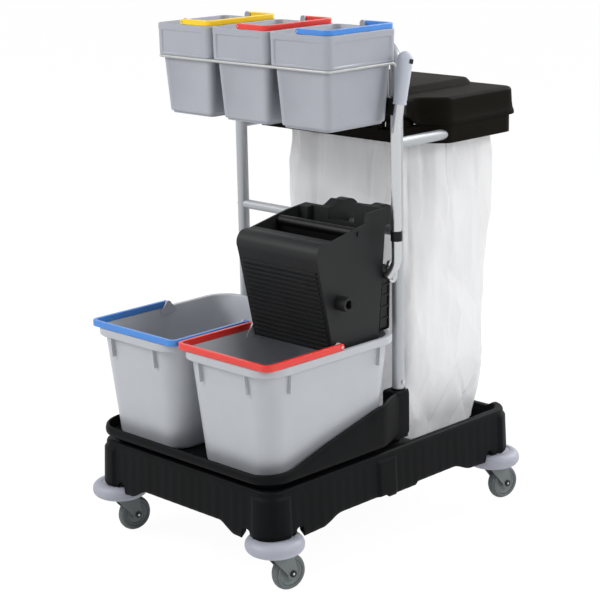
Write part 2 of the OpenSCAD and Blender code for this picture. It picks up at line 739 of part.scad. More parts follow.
// A bucket about its own middle, with ribs under the rim and lugs for its bail
module bucket(x) color(pail_grey) translate([x, bucket_y, 0]) {
  w = bucket_w - 2 * bucket_rim;
  l = bucket_l - 2 * bucket_rim;
  r = bucket_r - bucket_rim;
  low_w = 2 * (tray_w / 2 - tray_wall - foot_room - bucket_x);
  low_l = l - 2 * bucket_draft;
  rim_low = bucket_rim_z - bucket_rim_h;
  lug = bail_out - bail_w - seat_gap;
  y = bail_y - bucket_y;
  difference() {
    union() {
      tub(low_w, low_l, r - 8, tray_floor, w, l, r, bucket_rim_z);
      slab(bucket_w, bucket_l, bucket_r, rim_low, bucket_rim_h);
      for (sx = [-1, 1], sy = [-1, 1]) {
        translate([sx * (w / 2 - r - 14) - 2, sy > 0 ? l / 2 - 12 : -l / 2 - bucket_rim + 2, rim_low - 38])
          cube([4, bucket_rim + 10, 40]);
        translate([sx > 0 ? w / 2 - 12 : -w / 2 - bucket_rim + 2, sy * (l / 2 - r - 14) - 2, rim_low - 38])
          cube([bucket_rim + 10, 4, 40]);
      }
    }
    tub(low_w - 2 * bucket_wall, low_l - 2 * bucket_wall, r - 8 - bucket_wall, tray_floor + bucket_wall,
        w - 2 * bucket_wall, l - 2 * bucket_wall, r - bucket_wall, bucket_rim_z + 1);
  }
  for (s = [-1, 1]) {
    across_x(s > 0 ? lug - 5 : -lug, 5) polygon(concat(
      [[y + 22, bucket_rim_z - 14]], arc([y, bail_z], bail_h / 2 + 1, 30, 150),
      [[y - 22, bucket_rim_z - 14]]));
    pin_x(s > 0 ? lug - 1 : -lug - bail_w - 1, bail_w + 2, bail_pin_d, y, bail_z);
  }
}

module bucket_bail_at(x, shade) color(shade) translate([x, bail_y, bail_z]) rotate(-90)
  bail_strap(bail_y - bucket_y + bucket_l / 2 - 2, 2 * bail_out, bail_w, bail_h, bail_pin_d);

// Side view of the press: sloping ribbed front, rounded roll under the lip, leaning rear
module press_side_view() polygon(concat(
  [press_rear_low, press_rear_top, ear_front, ear_foot, press_lip],
  arc(roll_c, roll_r, 85, 205), [press_front_high, press_front_low]));

// The hopper's inside, open at the top
module press_inside_view() {
  t = press_wall;
  polygon([press_rear_low + [-t - 1, t], press_rear_top + [-t, 60], press_lip + [t + 6, 60],
    press_lip + [t + 6, -3], roll_c + [2 * t - roll_r, -10], press_front_high + [t + 4, 0],
    press_front_low + [t + 1, t]]);
}

function front_at(t) = press_front_low + (press_front_high - press_front_low) * t;

module press_front_ribs() {
  proud = [-4, -1];
  rib = 0.96 / press_ribs;
  across_x(press_x0 + 9, press_w - 18) for (i = [0:press_ribs - 1]) let (t = 0.03 + i * rib)
    polygon([front_at(t) + [1, 0], front_at(t + 0.15 * rib) + proud, front_at(t + 0.5 * rib) + proud,
      front_at(t + 0.65 * rib) + [1, 0]]);
}

// Hook that drops over the crossbar from above
module press_hook() difference() {
  polygon(concat([[press_rear_top.x - 6, crossbar_z - 40], press_rear_top - [4, 0]],
    arc([post_y - 5, crossbar_z + 22], hook_r, 110, 20), [[post_y + 24, crossbar_z - 14],
    [post_y - 24, crossbar_z - 14]]));
  translate([post_y, crossbar_z]) circle(d = crossbar_d + 2 * seat_gap);
  translate([post_y - crossbar_d / 2 - seat_gap, crossbar_z - press_drop])
    square([crossbar_d + 2 * seat_gap, press_drop]);
}

module press_housing() color(charcoal) difference() {
  union() {
    difference() {
      across_x(press_x0, press_w) press_side_view();
      across_x(press_x0 + press_wall, press_w - 2 * press_wall) press_inside_view();
    }
    press_front_ribs();
    for (s = [-1, 1]) across_x(bucket_x + s * hook_x - hook_w / 2, hook_w) press_hook();
    across_x(press_x0 + press_wall - 1, 26) polygon([
      press_rear_low + [-24, press_wall - 1], press_rear_low + [-press_wall, press_wall - 1],
      press_rear_top - [press_wall, 4], press_rear_top - [24, 4]]);
    pin_x(press_x1 - 1, boss_l + 1, 2 * boss_r, boss_y, boss_z);
  }
  pin_x(press_x1 + boss_l - 24, 25, socket_d, boss_y, boss_z);
  pin_x(press_x0 - 1, press_w + 2, jaw_shaft_d + 2 * run_gap, jaw_y, jaw_z);
  for (s = [-1, 1]) translate([bucket_x + s * cam_x - cam_t / 2 - 4, press_rear_low.x - 20, shaft_z - 14])
    cube([cam_t + 8, 70, cam_reach + 26]);
  translate([bucket_x - hook_x + hook_w / 2, press_rear_top.x - 30, jaw_z])
    cube([2 * hook_x - hook_w, 60, press_drop]);
  for (i = [-2:2]) translate([bucket_x + i * press_w / 6 - 8, press_front_low.x + 22, press_low - 1])
    cube([16, press_rear_low.x - press_front_low.x - 44, press_wall + 2]);
}

// Rear face of the housing at height z
function rear_at(z) = press_rear_low.x
  + (press_rear_top.x - press_rear_low.x) * (z - press_low) / (press_rear_top.y - press_low);

// Ribbed plates on the rear of the housing that carry the lever's shaft
module bearing_brackets() color(charcoal) for (s = [-1, 1])
  across_x(bucket_x + s * bracket_x - bracket_t / 2, bracket_t) difference() {
    low = press_low + 12;
    high = shaft_z + bracket_over;
    back = shaft_y + shaft_d / 2 + 15;
    polygon([[rear_at(low) + seat_gap, low], [back - 2, low], [back, shaft_z - 30],
      [shaft_y + shaft_d / 2 + 8, high], [rear_at(high) + seat_gap, high]]);
    translate([shaft_y, shaft_z]) circle(d = shaft_d + 2 * run_gap);
  }

module press_jaw() color(charcoal) difference() {
  jaw_x = press_x0 + press_wall + 4;
  jaw_w = press_w - 2 * press_wall - 8;
  union() {
    pin_x(jaw_x, jaw_w, 2 * jaw_barrel_r, jaw_y, jaw_z);
    translate([jaw_x, jaw_y - jaw_t / 2, jaw_z - jaw_drop]) cube([jaw_w, jaw_t, jaw_drop]);
  }
  pin_x(jaw_x - 1, jaw_w + 2, jaw_shaft_d + 2 * eps, jaw_y, jaw_z);
  for (x = [-3:3], z = [1:5])
    pin_y(jaw_y - jaw_t, 2 * jaw_t, 9, bucket_x + x * jaw_w / 8, jaw_z - 20 - z * jaw_drop / 7);
}

module jaw_shaft() color(steel) pin_x(press_x0 - 3, press_w + 6, jaw_shaft_d, jaw_y, jaw_z);

module lever_shaft() color(steel) {
  start = bucket_x - bracket_x - bracket_t / 2 - 4;
  difference() {
    pin_x(start, foot_x - start, shaft_d, shaft_y, shaft_z);
    pin_x(foot_x - 20, 21, bolt_d + 2 * eps, shaft_y, shaft_z);
  }
}

// Cams on the lever's shaft, standing up at rest, that swing forward against the jaw
module press_cams() color(charcoal) for (s = [-1, 1])
  across_x(bucket_x + s * cam_x - cam_t / 2, cam_t) difference() {
    union() {
      translate([shaft_y, shaft_z]) circle(d = shaft_d + 12);
      translate([shaft_y, shaft_z + cam_reach - 7]) circle(r = 7);
      translate([shaft_y - 7, shaft_z]) square([14, cam_reach - 7]);
    }
    translate([shaft_y, shaft_z]) circle(d = shaft_d + 2 * eps);
  }

// Lever: flat foot on the shaft's end, knee outwards, straight tube and leaning top
module lever_tube() color(steel) difference() {
  union() {
    across_x(foot_x, foot_t) {
      translate([shaft_y, shaft_z]) circle(d = foot_w);
      translate([shaft_y - foot_w / 2, shaft_z]) square([foot_w, 34]);
    }
    swept_bar(lever_path, lever_d / 2);
  }
  pin_x(foot_x - 1, foot_t + 2, bolt_d + 2 * run_gap, shaft_y, shaft_z);
}

module lever_grip() color(bumper_grey)
  translate([lever_x, lean_y, lean_z]) rotate([-lean_turn, 0, 0]) difference() {
    translate([0, 0, grip_start]) {
      cylinder(d1 = grip_d - 4, d2 = grip_d, h = grip_l - grip_d / 2);
      translate([0, 0, grip_l - grip_d / 2]) sphere(d = grip_d);
    }
    cylinder(d = lever_d + 2 * run_gap, h = lean_l + seat_gap);
  }

module lever_band() color(foam_black) translate([lever_x, lever_y, lever_low + band_rise]) difference() {
  cylinder(d = lever_d + 4, h = 20);
  translate([0, 0, -1]) cylinder(d = lever_d + 2 * run_gap, h = 22);
}

module lever_bolt() color(steel) {
  pin_x(foot_x - 18, foot_t + 18, bolt_d, shaft_y, shaft_z);
  pin_x(foot_x + foot_t, 5, bolt_d + 6, shaft_y, shaft_z);
}

// Ring that the bag hangs in, with a socket on each side for the bag tubes
module bag_ring() color(foam_black) difference() {
  union() {
    translate([0, 0, ring_z]) linear_extrude(ring_h) polygon(holder_outline(0, holder_rear));
    for (s = [-1, 1]) translate([s * hinge_x - knuckle_w / 2, hinge_y, hinge_z]) {
      pin_x(0, knuckle_w, 2 * knuckle_r, 0, 0);
      translate([0, -knuckle_r, ring_top - hinge_z - eps])
        cube([knuckle_w, 2 * knuckle_r, hinge_z - ring_top]);
    }
  }
  translate([0, 0, ring_z - 1]) linear_extrude(ring_h + 2) polygon(holder_outline(ring_wall, mouth_rear));
  translate([-neck_w / 2 - 1, holder_front - 1, ring_z - 1])
    cube([neck_w + 2, neck_end - holder_front + 1, neck_lift + 1]);
  for (s = [-1, 1]) {
    pin_y(post_y, bag_tube_end - post_y + seat_gap, bag_tube_d + 2 * run_gap, s * post_x, bag_tube_z);
    pin_x(s * hinge_x - knuckle_w, 2 * knuckle_w, lid_pin_d + 2 * eps, hinge_y, hinge_z);
  }
}

module lid() color(foam_black) difference() {
  lid_rear = holder_rear + lid_over;
  panel_l = lid_rear - holder_front - 30;
  union() {
    translate([0, 0, lid_z]) linear_extrude(lid_h) polygon(holder_outline(0, lid_rear));
    translate([0, holder_front + 10 + panel_l / 2, 0])
      tub(lid_panel_w + 16, panel_l + 8, 20, lid_top - 1, lid_panel_w, panel_l, 16, lid_top + lid_rise);
  }
  difference() {
    translate([0, 0, lid_z - 1]) linear_extrude(lid_h + 1 - lid_t) polygon(holder_outline(lid_t, lid_rear));
    for (s = [-1, 1]) translate([s * hinge_x - knuckle_w, holder_front, lid_z - 2])
      cube([2 * knuckle_w, hinge_y + knuckle_r + 3 - holder_front, 24]);
  }
  for (s = [-1, 1]) across_x(s > 0 ? hinge_x + 2 * knuckle_w : -holder_w, holder_w - hinge_x - 2 * knuckle_w)
    polygon([[holder_front - 1, lid_z - 1], [holder_front - 1, lid_top - 23], [neck_end - 22, lid_top - 33],
      [neck_end + 12, lid_z - 1]]);
  translate([0, holder_front + 10 + panel_l / 2, 0])
    slab(lid_panel_w - 2 * lid_t, panel_l - 2 * lid_t, 12, lid_top - lid_t - 1, lid_rise + 1);
  translate([-neck_w, holder_front - 1, lid_z - 1])
    cube([2 * neck_w, hinge_y + 10 - holder_front, hinge_z - lid_z - 3.5]);
  for (s = [-1, 1]) {
    translate([s * hinge_x - knuckle_w / 2 - 1, holder_front - 1, lid_z - 1])
      cube([knuckle_w + 2, 2 * knuckle_r + 4, knuckle_r + 10]);
    pin_x(s * hinge_x - 2 * knuckle_w, 4 * knuckle_w, lid_pin_d + 2 * run_gap, hinge_y, hinge_z);
  }
}

module lid_pins() color(steel) for (s = [-1, 1])
  pin_x(s * hinge_x - knuckle_w / 2 - 8, knuckle_w + 16, lid_pin_d, hinge_y, hinge_z);

// Bag: a mouth inside the ring and a body that narrows down into the well
module bag_form(t) {
  top_l = holder_rear - ring_rear - holder_front - ring_wall;
  top_y = holder_front + ring_wall + top_l / 2;
  top_w = holder_w - 2 * ring_wall;
  low_y = well_front + 20 + bag_low_l / 2;
  floor_z = well_floor + seat_gap + t;
  translate([0, 0, ring_z - 40]) linear_extrude(t > 0 ? ring_h + 60 : ring_h + 40)
    polygon(holder_outline(ring_wall + seat_gap + t, mouth_rear));
  translate([0, top_y, 0]) hull() {
    slab(top_w - 4 - 2 * t, top_l - 4 - 2 * t, 40, ring_z - 14, eps);
    translate([0, low_y - top_y, 0]) slab(top_w - 26 - 2 * t, bag_low_l - 2 * t, 46, floor_z + 60, eps);
    translate([0, low_y - top_y, 0]) slab(top_w - 80 - 2 * t, bag_foot_l - 2 * t, 40, floor_z, eps);
  }
}

module waste_bag() color("#f4f4f6") difference() {
  bag_form(0);
  bag_form(2.5);
}

base();
bucket_tray();
caster_stems();
bumper(0);  // bumper_front_left
bumper(1);  // bumper_front_right
bumper(2);  // bumper_rear_left
bumper(3);  // bumper_rear_right
fork(0);  // fork_front_left
fork(1);  // fork_front_right
fork(2);  // fork_rear_left
fork(3);  // fork_rear_right
axle(0);  // axle_front_left
axle(1);  // axle_front_right
axle(2);  // axle_rear_left
axle(3);  // axle_rear_right
hub(0);  // hub_front_left
hub(1);  // hub_front_right
hub(2);  // hub_rear_left
hub(3);  // hub_rear_right
tyre(0);  // tyre_front_left
tyre(1);  // tyre_front_right
tyre(2);  // tyre_rear_left
tyre(3);  // tyre_rear_right
frame_hoop();
crossbar();
bag_tubes();
frame_screws();
wire_rack();
rack_clips();
pail(-pail_pitch);  // pail_left
pail(0);  // pail_middle
pail(pail_pitch);  // pail_right
pail_bail_at(-pail_pitch, yellow);  // pail_bail_left
pail_bail_at(0, red);  // pail_bail_middle
pail_bail_at(pail_pitch, blue);  // pail_bail_right
bucket(-bucket_x);  // bucket_left
bucket(bucket_x);  // bucket_right
bucket_bail_at(-bucket_x, blue);  // bucket_bail_left
bucket_bail_at(bucket_x, red);  // bucket_bail_right
press_housing();
bearing_brackets();
press_jaw();
jaw_shaft();
lever_shaft();
press_cams();
lever_tube();
lever_grip();
lever_band();
lever_bolt();
bag_ring();
lid();
lid_pins();
waste_bag();
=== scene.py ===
import math

import bmesh
import bpy
from mathutils import Matrix, Vector, noise


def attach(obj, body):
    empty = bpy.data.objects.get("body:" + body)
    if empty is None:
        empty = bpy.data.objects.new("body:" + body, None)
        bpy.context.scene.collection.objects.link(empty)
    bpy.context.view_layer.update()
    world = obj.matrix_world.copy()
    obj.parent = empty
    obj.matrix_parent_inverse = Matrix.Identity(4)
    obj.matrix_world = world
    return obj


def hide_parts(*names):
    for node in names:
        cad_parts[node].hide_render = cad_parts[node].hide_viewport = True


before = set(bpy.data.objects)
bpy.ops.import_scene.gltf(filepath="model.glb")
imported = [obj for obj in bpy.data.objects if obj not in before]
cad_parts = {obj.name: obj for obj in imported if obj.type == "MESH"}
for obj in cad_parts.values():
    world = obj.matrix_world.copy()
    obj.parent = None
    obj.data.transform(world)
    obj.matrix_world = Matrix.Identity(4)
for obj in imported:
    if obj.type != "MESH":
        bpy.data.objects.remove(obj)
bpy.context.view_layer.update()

print("frame loaded:", len(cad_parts), "CAD nodes")

# small tools; lengths are millimetres until a mesh is made, and angles are degrees

mould = {"merge": 1e-6, "cadMerge": 2e-6, "flat": 0.8, "roundFrom": 28, "panelSlope": 2, "hollowFrom": 0.2}
sides = (-1, 1)
corners = ((1, 1), (-1, 1), (-1, -1), (1, -1))
sideNormals = ((0, 1), (-1, 0), (0, -1), (1, 0))
shift = Matrix.Translation
# an outline in Y and Z, thickened along X
acrossX = Matrix(((0, 0, 1, 0), (1, 0, 0, 0), (0, 1, 0, 0), (0, 0, 0, 1)))


def hexLinear(code):
    channels = [int(code[i:i + 2], 16) / 255 for i in (1, 3, 5)]
    return [c / 12.92 if c <= 0.04045 else ((c + 0.055) / 1.055) ** 2.4 for c in channels] + [1.0]


def addNode(tree, kind, settings=None, links=None):
    # a link comes from a socket, or from a node's first output
    node = tree.nodes.new(kind)
    for key, value in (settings or {}).items():
        if isinstance(key, str) and hasattr(node, key):
            setattr(node, key, value)
        else:
            node.inputs[key].default_value = value
    for key, source in (links or {}).items():
        tree.links.new(getattr(source, "outputs", [source])[0], node.inputs[key])
    return node


def addObject(name, data):
    one = bpy.data.objects.new(name, data)
    bpy.context.scene.collection.objects.link(one)
    return one


def turn(degrees, axis):
    return Matrix.Rotation(math.radians(degrees), 4, axis)


def pick(sizes, keys):
    return [sizes[key] for key in keys.split()]


def raised(rows, z, out=0):
    # rows of (inset or radius, height), measured from a height and an inset
    return [(out + e, z + h, *more) for e, h, *more in rows]


def spaced(start, end, steps):
    return [start + (end - start) * i / steps for i in range(steps + 1)]


def partMesh(name, parts):
    verts, faces = [], []
    for partVerts, partFaces in parts:
        start = len(verts)
        verts += [[c / 1000 for c in v] for v in partVerts]
        faces += [[start + i for i in f] for f in partFaces]
    mesh = bpy.data.meshes.new(name)
    mesh.from_pydata(verts, [], faces)
    return mesh


def cleanMesh(mesh, merge=0.0, flat=0.0):
    # joins points that meet, then joins faces that bend less than flat, or else turns every face outward
    bm = bmesh.new()
    bm.from_mesh(mesh)
    if merge:
        bmesh.ops.remove_doubles(bm, verts=bm.verts, dist=merge)
    if flat:
        bmesh.ops.dissolve_limit(bm, angle_limit=math.radians(flat), verts=bm.verts, edges=bm.edges)
    else:
        bmesh.ops.recalc_face_normals(bm, faces=bm.faces)
    bm.to_mesh(mesh)
    bm.free()
    return mesh


def appliedMesh(one):
    return bpy.data.meshes.new_from_object(one.evaluated_get(bpy.context.evaluated_depsgraph_get()))


def finishPiece(name, mesh, finish, body, replaces=(), sharp=32):
    mesh.name = name
    mesh.materials.clear()
    mesh.materials.append(finishes[finish])
    mesh.shade_smooth()
    mesh.set_sharp_from_angle(angle=math.radians(sharp))
    piece = addObject(name, mesh)
    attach(piece, body)
    if replaces:
        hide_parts(*replaces)
    return piece


def makePiece(name, parts, finish, body, replaces=(), sharp=32):
    mesh = cleanMesh(partMesh(name, parts), mould["merge"])
    return finishPiece(name, mesh, finish, body, replaces, sharp)


def cutMesh(mesh, part):
    # the mesh less one closed part
    pair = [addObject("cut piece", mesh), addObject("cutting tool", partMesh("cutting tool", [part]))]
    cut = pair[0].modifiers.new("cut", "BOOLEAN")
    cut.operation = "DIFFERENCE"
    cut.object = pair[1]
    left = appliedMesh(pair[0])
    for one in pair:
        bpy.data.objects.remove(one)
    return left


def softCopy(node, name, finish, body, width, segments=3, cut=None):
    # a CAD solid with its moulded edges rounded over
    mesh = cleanMesh(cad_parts[node].data.copy(), mould["cadMerge"], mould["flat"])
    if cut:
        mesh = cutMesh(mesh, cut)
    piece = finishPiece(name, mesh, finish, body, (node,), sharp=180)
    bevel = piece.modifiers.new("round edges", "BEVEL")
    bevel.width = width / 1000
    bevel.segments = segments
    bevel.limit_method = "ANGLE"
    bevel.angle_limit = math.radians(mould["roundFrom"])
    weighted = piece.modifiers.new("even shading", "WEIGHTED_NORMAL")
    weighted.keep_sharp = True


def arc(radius, start, end, steps, at=(0, 0)):
    angles = map(math.radians, spaced(start, end, steps))
    return [(at[0] + radius * math.cos(a), at[1] + radius * math.sin(a)) for a in angles]


def loft(rings, capStart=True, capEnd=True):
    count = len(rings[0])
    verts = [p for ring in rings for p in ring]
    faces = []
    for i in range(len(rings) - 1):
        for k in range(count):
            j = (k + 1) % count
            faces.append([i * count + k, i * count + j, (i + 1) * count + j, (i + 1) * count + k])
    if capStart:
        faces.append(list(range(count))[::-1])
    if capEnd:
        faces.append([(len(rings) - 1) * count + k for k in range(count)])
    return verts, faces


def roundRing(centre, halfW, halfL, radius, z, edge=None, sink=0.0, segs=8):
    # a rectangle with round corners; edge and sink press a panel into each side
    points = []
    slope = mould["panelSlope"]
    for k, ((sx, sy), normal) in enumerate(zip(corners, sideNormals)):
        at = (centre[0] + sx * (halfW - radius), centre[1] + sy * (halfL - radius))
        points += [(x, y, z) for x, y in arc(radius, 90 * k, 90 * k + 90, segs, at)]
        if edge:
            along = (-normal[1], normal[0])
            reach, half = (halfL, halfW) if normal[1] else (halfW, halfL)
            start, end = edge - half, half - edge
            for u, d in ((start, 0), (start + slope, sink), (end - slope, sink), (end, 0)):
                points.append((centre[0] + normal[0] * (reach - d) + along[0] * u,
                               centre[1] + normal[1] * (reach - d) + along[1] * u, z))
    return points


def roundStack(centre, halfW, halfL, radius, rows, segs=8):
    # a closed stack of round-cornered rectangles; rows are (inset, height)
    return loft([roundRing(centre, halfW - e, halfL - e, radius, z, segs=segs) for e, z in rows])


def roundPath(points, radius, segs=8):
    # a path with its inner corners rounded
    path = [Vector(points[0])]
    for a, b, c in zip(points, points[1:], points[2:]):
        a, b, c = Vector(a), Vector(b), Vector(c)
        d1, d2 = (b - a).normalized(), (c - b).normalized()
        bend = d1.angle(d2)
        if bend < 1e-4:
            path.append(b)
            continue
        cut = radius * math.tan(bend / 2)
        inward = (d2 - d1 * d1.dot(d2)).normalized()
        centre = b - d1 * cut + inward * radius
        for i in range(segs + 1):
            t = bend * i / segs
            path.append(centre - inward * radius * math.cos(t) + d1 * radius * math.sin(t))
    return path + [Vector(points[-1])]


def sweep(path, section, up):
    # a closed section carried along a path, with its second axis kept near up
    path = [Vector(p) for p in path]
    rings = []
    for i, p in enumerate(path):
        t = (path[min(i + 1, len(path) - 1)] - path[max(i - 1, 0)]).normalized()
        side = t.cross(Vector(up)).normalized()
        top = side.cross(t)
        rings.append([tuple(p + side * a + top * b) for a, b in section])
    return loft(rings)


def circleSection(radius, count=28):
    return arc(radius, 0, 360, count)[:-1]


def softSection(width, height, radius, segs=4):
    return [p[:2] for p in roundRing((0, 0), width / 2, height / 2, radius, 0, segs=segs)]


def lathe(profile, place, count=64):
    # (radius, height) pairs spun about the local Z of place
    rings = [[tuple(place @ Vector((x, y, h))) for x, y in circleSection(r, count)] for r, h in profile]
    if profile[0][0] > mould["hollowFrom"]:
        return loft(rings + [rings[0]], False, False)
    return loft(rings)


def rod(bore, radius, start, end, edge):
    # the lathe profile of a pin, or of an eye with a bore, with chamfered ends
    return [(bore, start), (radius - edge, start), (radius, start + edge),
            (radius, end - edge), (radius - edge, end), (bore, end)]


def mirrored(profile):
    return [(r, -h) for r, h in reversed(profile)]


def placed(part, place):
    return [tuple(place @ Vector(v)) for v in part[0]], part[1]


def plate(outline, place, depth, edge=1.0):
    # a flat outline thickened along local Z, with a small chamfer
    centre = Vector((sum(p[0] for p in outline) / len(outline), sum(p[1] for p in outline) / len(outline)))
    size = max((Vector(p) - centre).length for p in outline)
    rings = []
    for shrink, z in ((edge, 0), (0, edge), (0, depth - edge), (edge, depth)):
        rings.append([tuple(place @ Vector((*(centre + (Vector(p) - centre) * (1 - shrink / size)), z)))
                      for p in outline])
    return loft(rings)


def smooth(t):
    t = min(1.0, max(0.0, t))
    return t * t * (3 - 2 * t)


def between(rows, at):
    # the other columns of a table, read at a place along its first column
    for a, b in zip(rows, rows[1:]):
        if min(a[0], b[0]) <= at <= max(a[0], b[0]):
            t = (at - a[0]) / (b[0] - a[0])
            return [p + (q - p) * t for p, q in zip(a[1:], b[1:])]
    return rows[-1][1:]


# Geometry Nodes: one tree sets a small piece at every point, turned by the point's "turn" value
def repeatTree():
    tree = bpy.data.node_groups.new("piece at points", "GeometryNodeTree")
    sockets = {"Points": "Geometry", "Piece": "Object", "Finish": "Material"}
    for name, kind in sockets.items():
        tree.interface.new_socket(name, in_out="INPUT", socket_type="NodeSocket" + kind)
    tree.interface.new_socket("Result", in_out="OUTPUT", socket_type="NodeSocketGeometry")
    given = addNode(tree, "NodeGroupInput")
    piece = addNode(tree, "GeometryNodeObjectInfo", None, {"Object": given.outputs["Piece"]})
    turned = addNode(tree, "GeometryNodeInputNamedAttribute", {"data_type": "FLOAT_VECTOR", "Name": "turn"})
    spread = addNode(tree, "GeometryNodeInstanceOnPoints", None, {
        "Points": given.outputs["Points"], "Instance": piece.outputs["Geometry"],
        "Rotation": turned.outputs["Attribute"]})
    solid = addNode(tree, "GeometryNodeRealizeInstances", None, {"Geometry": spread})
    painted = addNode(tree, "GeometryNodeSetMaterial", None,
                      {"Geometry": solid, "Material": given.outputs["Finish"]})
    addNode(tree, "NodeGroupOutput", None, {"Result": painted})
    return tree


pieceAtPoints = repeatTree()


def repeatPiece(name, part, places, finish, body):
    # part is drawn once about the origin; places are (point, turn about X, Y, Z)
    one = addObject(name + " source", cleanMesh(partMesh(name + " source", [part])))
    cloud = partMesh(name + " points", [([p for p, angles in places], [])])
    turns = cloud.attributes.new("turn", "FLOAT_VECTOR", "POINT")
    turns.data.foreach_set("vector", [math.radians(a) for p, angles in places for a in angles])
    host = addObject(name + " points", cloud)
    spread = host.modifiers.new("spread", "NODES")
    spread.node_group = pieceAtPoints
    given = {"Piece": one, "Finish": finishes[finish]}
    for socket in pieceAtPoints.interface.items_tree:
        if socket.name in given:
            spread[socket.identifier] = given[socket.name]
    mesh = appliedMesh(host)
    host.modifiers.remove(spread)
    for spare in (host, one):
        bpy.data.objects.remove(spare)
    finishPiece(name, mesh, finish, body)


# materials; grain too fine to show in the render is drawn as coarse as it needs to show

surface = {
    "flowMm": 45.45, "glossSpread": (-0.06, 0.08), "plasticIor": 1.49, "plasticBump": 0.35,
    "tones": (0.3, 0.7), "metalBump": 0.12, "metalMarkMm": 0.2, "driftMm": 111.1, "drift": 0.05,
    "broadMm": 90.9, "fineMm": 37.04, "fineShare": 0.3, "crumpleMm": 14, "creaseShadeEnd": 0.75,
    "filmStretch": 0.36, "filmBump": 0.9, "filmIor": 1.5, "filmGlow": 0.36,
}


def clearTree(owner):
    owner.use_nodes = True
    owner.node_tree.nodes.clear()
    return owner.node_tree


def startMaterial(name):
    material = bpy.data.materials.new(name)
    tree = clearTree(material)
    return material, tree, addNode(tree, "ShaderNodeTexCoord").outputs["Object"]


def markedShader(tree, marks, height, roughness, strength, depthMm, settings, links):
    # a surface whose gloss varies with the marks, with a bump from the height
    low, high = surface["glossSpread"]
    gloss = addNode(tree, "ShaderNodeMapRange", {"To Min": roughness + low, "To Max": roughness + high},
                    {"Value": marks})
    bump = addNode(tree, "ShaderNodeBump", {"Strength": strength, "Distance": depthMm / 1000},
                   {"Height": height})
    shader = addNode(tree, "ShaderNodeBsdfPrincipled", settings,
                     {"Roughness": gloss, "Normal": bump, **links})
    addNode(tree, "ShaderNodeOutputMaterial", None, {"Surface": shader})


def mouldedPlastic(name, code, roughness, grainMm, grainDepthMm, shade, stretch=None, coat=0.0, shine=0.5):
    # even colour with faint flow marks, a spark-eroded grain and a soft gloss
    material, tree, where = startMaterial(name)
    flowPlace = addNode(tree, "ShaderNodeMapping", {"Scale": stretch or (1, 1, 1)}, {"Vector": where})
    flow = addNode(tree, "ShaderNodeTexNoise", {"Scale": 1000 / surface["flowMm"], "Detail": 4.0},
                   {"Vector": flowPlace})
    colour = addNode(tree, "ShaderNodeValToRGB", None, {"Fac": flow})
    for stop, at, share in zip(colour.color_ramp.elements, surface["tones"], (1 - shade, 1 + shade)):
        stop.color = [min(1, c * share) for c in hexLinear(code)[:3]] + [1]
        stop.position = at
    grain = addNode(tree, "ShaderNodeTexNoise", {"Scale": 1000 / grainMm, "Detail": 3.0}, {"Vector": where})
    markedShader(tree, flow, grain, roughness, surface["plasticBump"], grainDepthMm,
                 {"IOR": surface["plasticIor"], "Coat Weight": coat, "Specular IOR Level": shine},
                 {"Base Color": colour})
    return material


def metalFinish(name, code, metallic, roughness, grainMm, stretch=(1, 1, 1)):
    # polishing or coating marks, drawn out along the given stretch
    material, tree, where = startMaterial(name)
    marksPlace = addNode(tree, "ShaderNodeMapping", {"Scale": stretch}, {"Vector": where})
    marks = addNode(tree, "ShaderNodeTexNoise", {"Scale": 1000 / grainMm, "Detail": 3.0},
                    {"Vector": marksPlace})
    markedShader(tree, marks, marks, roughness, surface["metalBump"], surface["metalMarkMm"],
                 {"Base Color": hexLinear(code), "Metallic": metallic}, {})
    return material


def bagFilm(name, code, paintedShadeCode):
    # thin white film that lets light through and breaks into small crisp crumples; its colour is darkened in
    # the low hollows of the crumples as painted shade
    material, tree, where = startMaterial(name)
    place = addNode(tree, "ShaderNodeMapping", {"Scale": (1, 1, surface["filmStretch"])}, {"Vector": where})
    drift = addNode(tree, "ShaderNodeTexNoise", {"Scale": 1000 / surface["driftMm"], "Detail": 3.0},
                    {"Vector": place})
    moved = addNode(tree, "ShaderNodeVectorMath", {"operation": "MULTIPLY_ADD", 1: [surface["drift"]] * 3},
                    {0: drift.outputs["Color"], 2: place})
    broad, fine = [addNode(tree, "ShaderNodeTexVoronoi", {"Scale": 1000 / size}, {"Vector": moved})
                   for size in pick(surface, "broadMm fineMm")]
    height = addNode(tree, "ShaderNodeMath", {"operation": "MULTIPLY_ADD", 1: surface["fineShare"]},
                     {0: fine, 2: broad})
    strength, depthMm = pick(surface, "filmBump crumpleMm")
    bump = addNode(tree, "ShaderNodeBump", {"Strength": strength, "Distance": depthMm / 1000},
                   {"Height": height})
    # painted shade: the colour runs from the painted shade colour in the crumples' hollows to white on their
    # raised parts
    colour = addNode(tree, "ShaderNodeValToRGB", None, {"Fac": height})
    stops = colour.color_ramp.elements
    stops[0].color, stops[1].color = hexLinear(paintedShadeCode), hexLinear(code)
    stops[1].position = surface["creaseShadeEnd"]
    shader = addNode(tree, "ShaderNodeBsdfPrincipled", {
        "Roughness": 0.2, "IOR": surface["filmIor"], "Alpha": 0.97, "Transmission Weight": 0.04,
    }, {"Base Color": colour, "Normal": bump})
    glow = addNode(tree, "ShaderNodeBsdfTranslucent", None, {"Color": colour, "Normal": bump})
    both = addNode(tree, "ShaderNodeMixShader", {"Fac": surface["filmGlow"]}, {1: shader, 2: glow})
    addNode(tree, "ShaderNodeOutputMaterial", None, {"Surface": both})
    return material


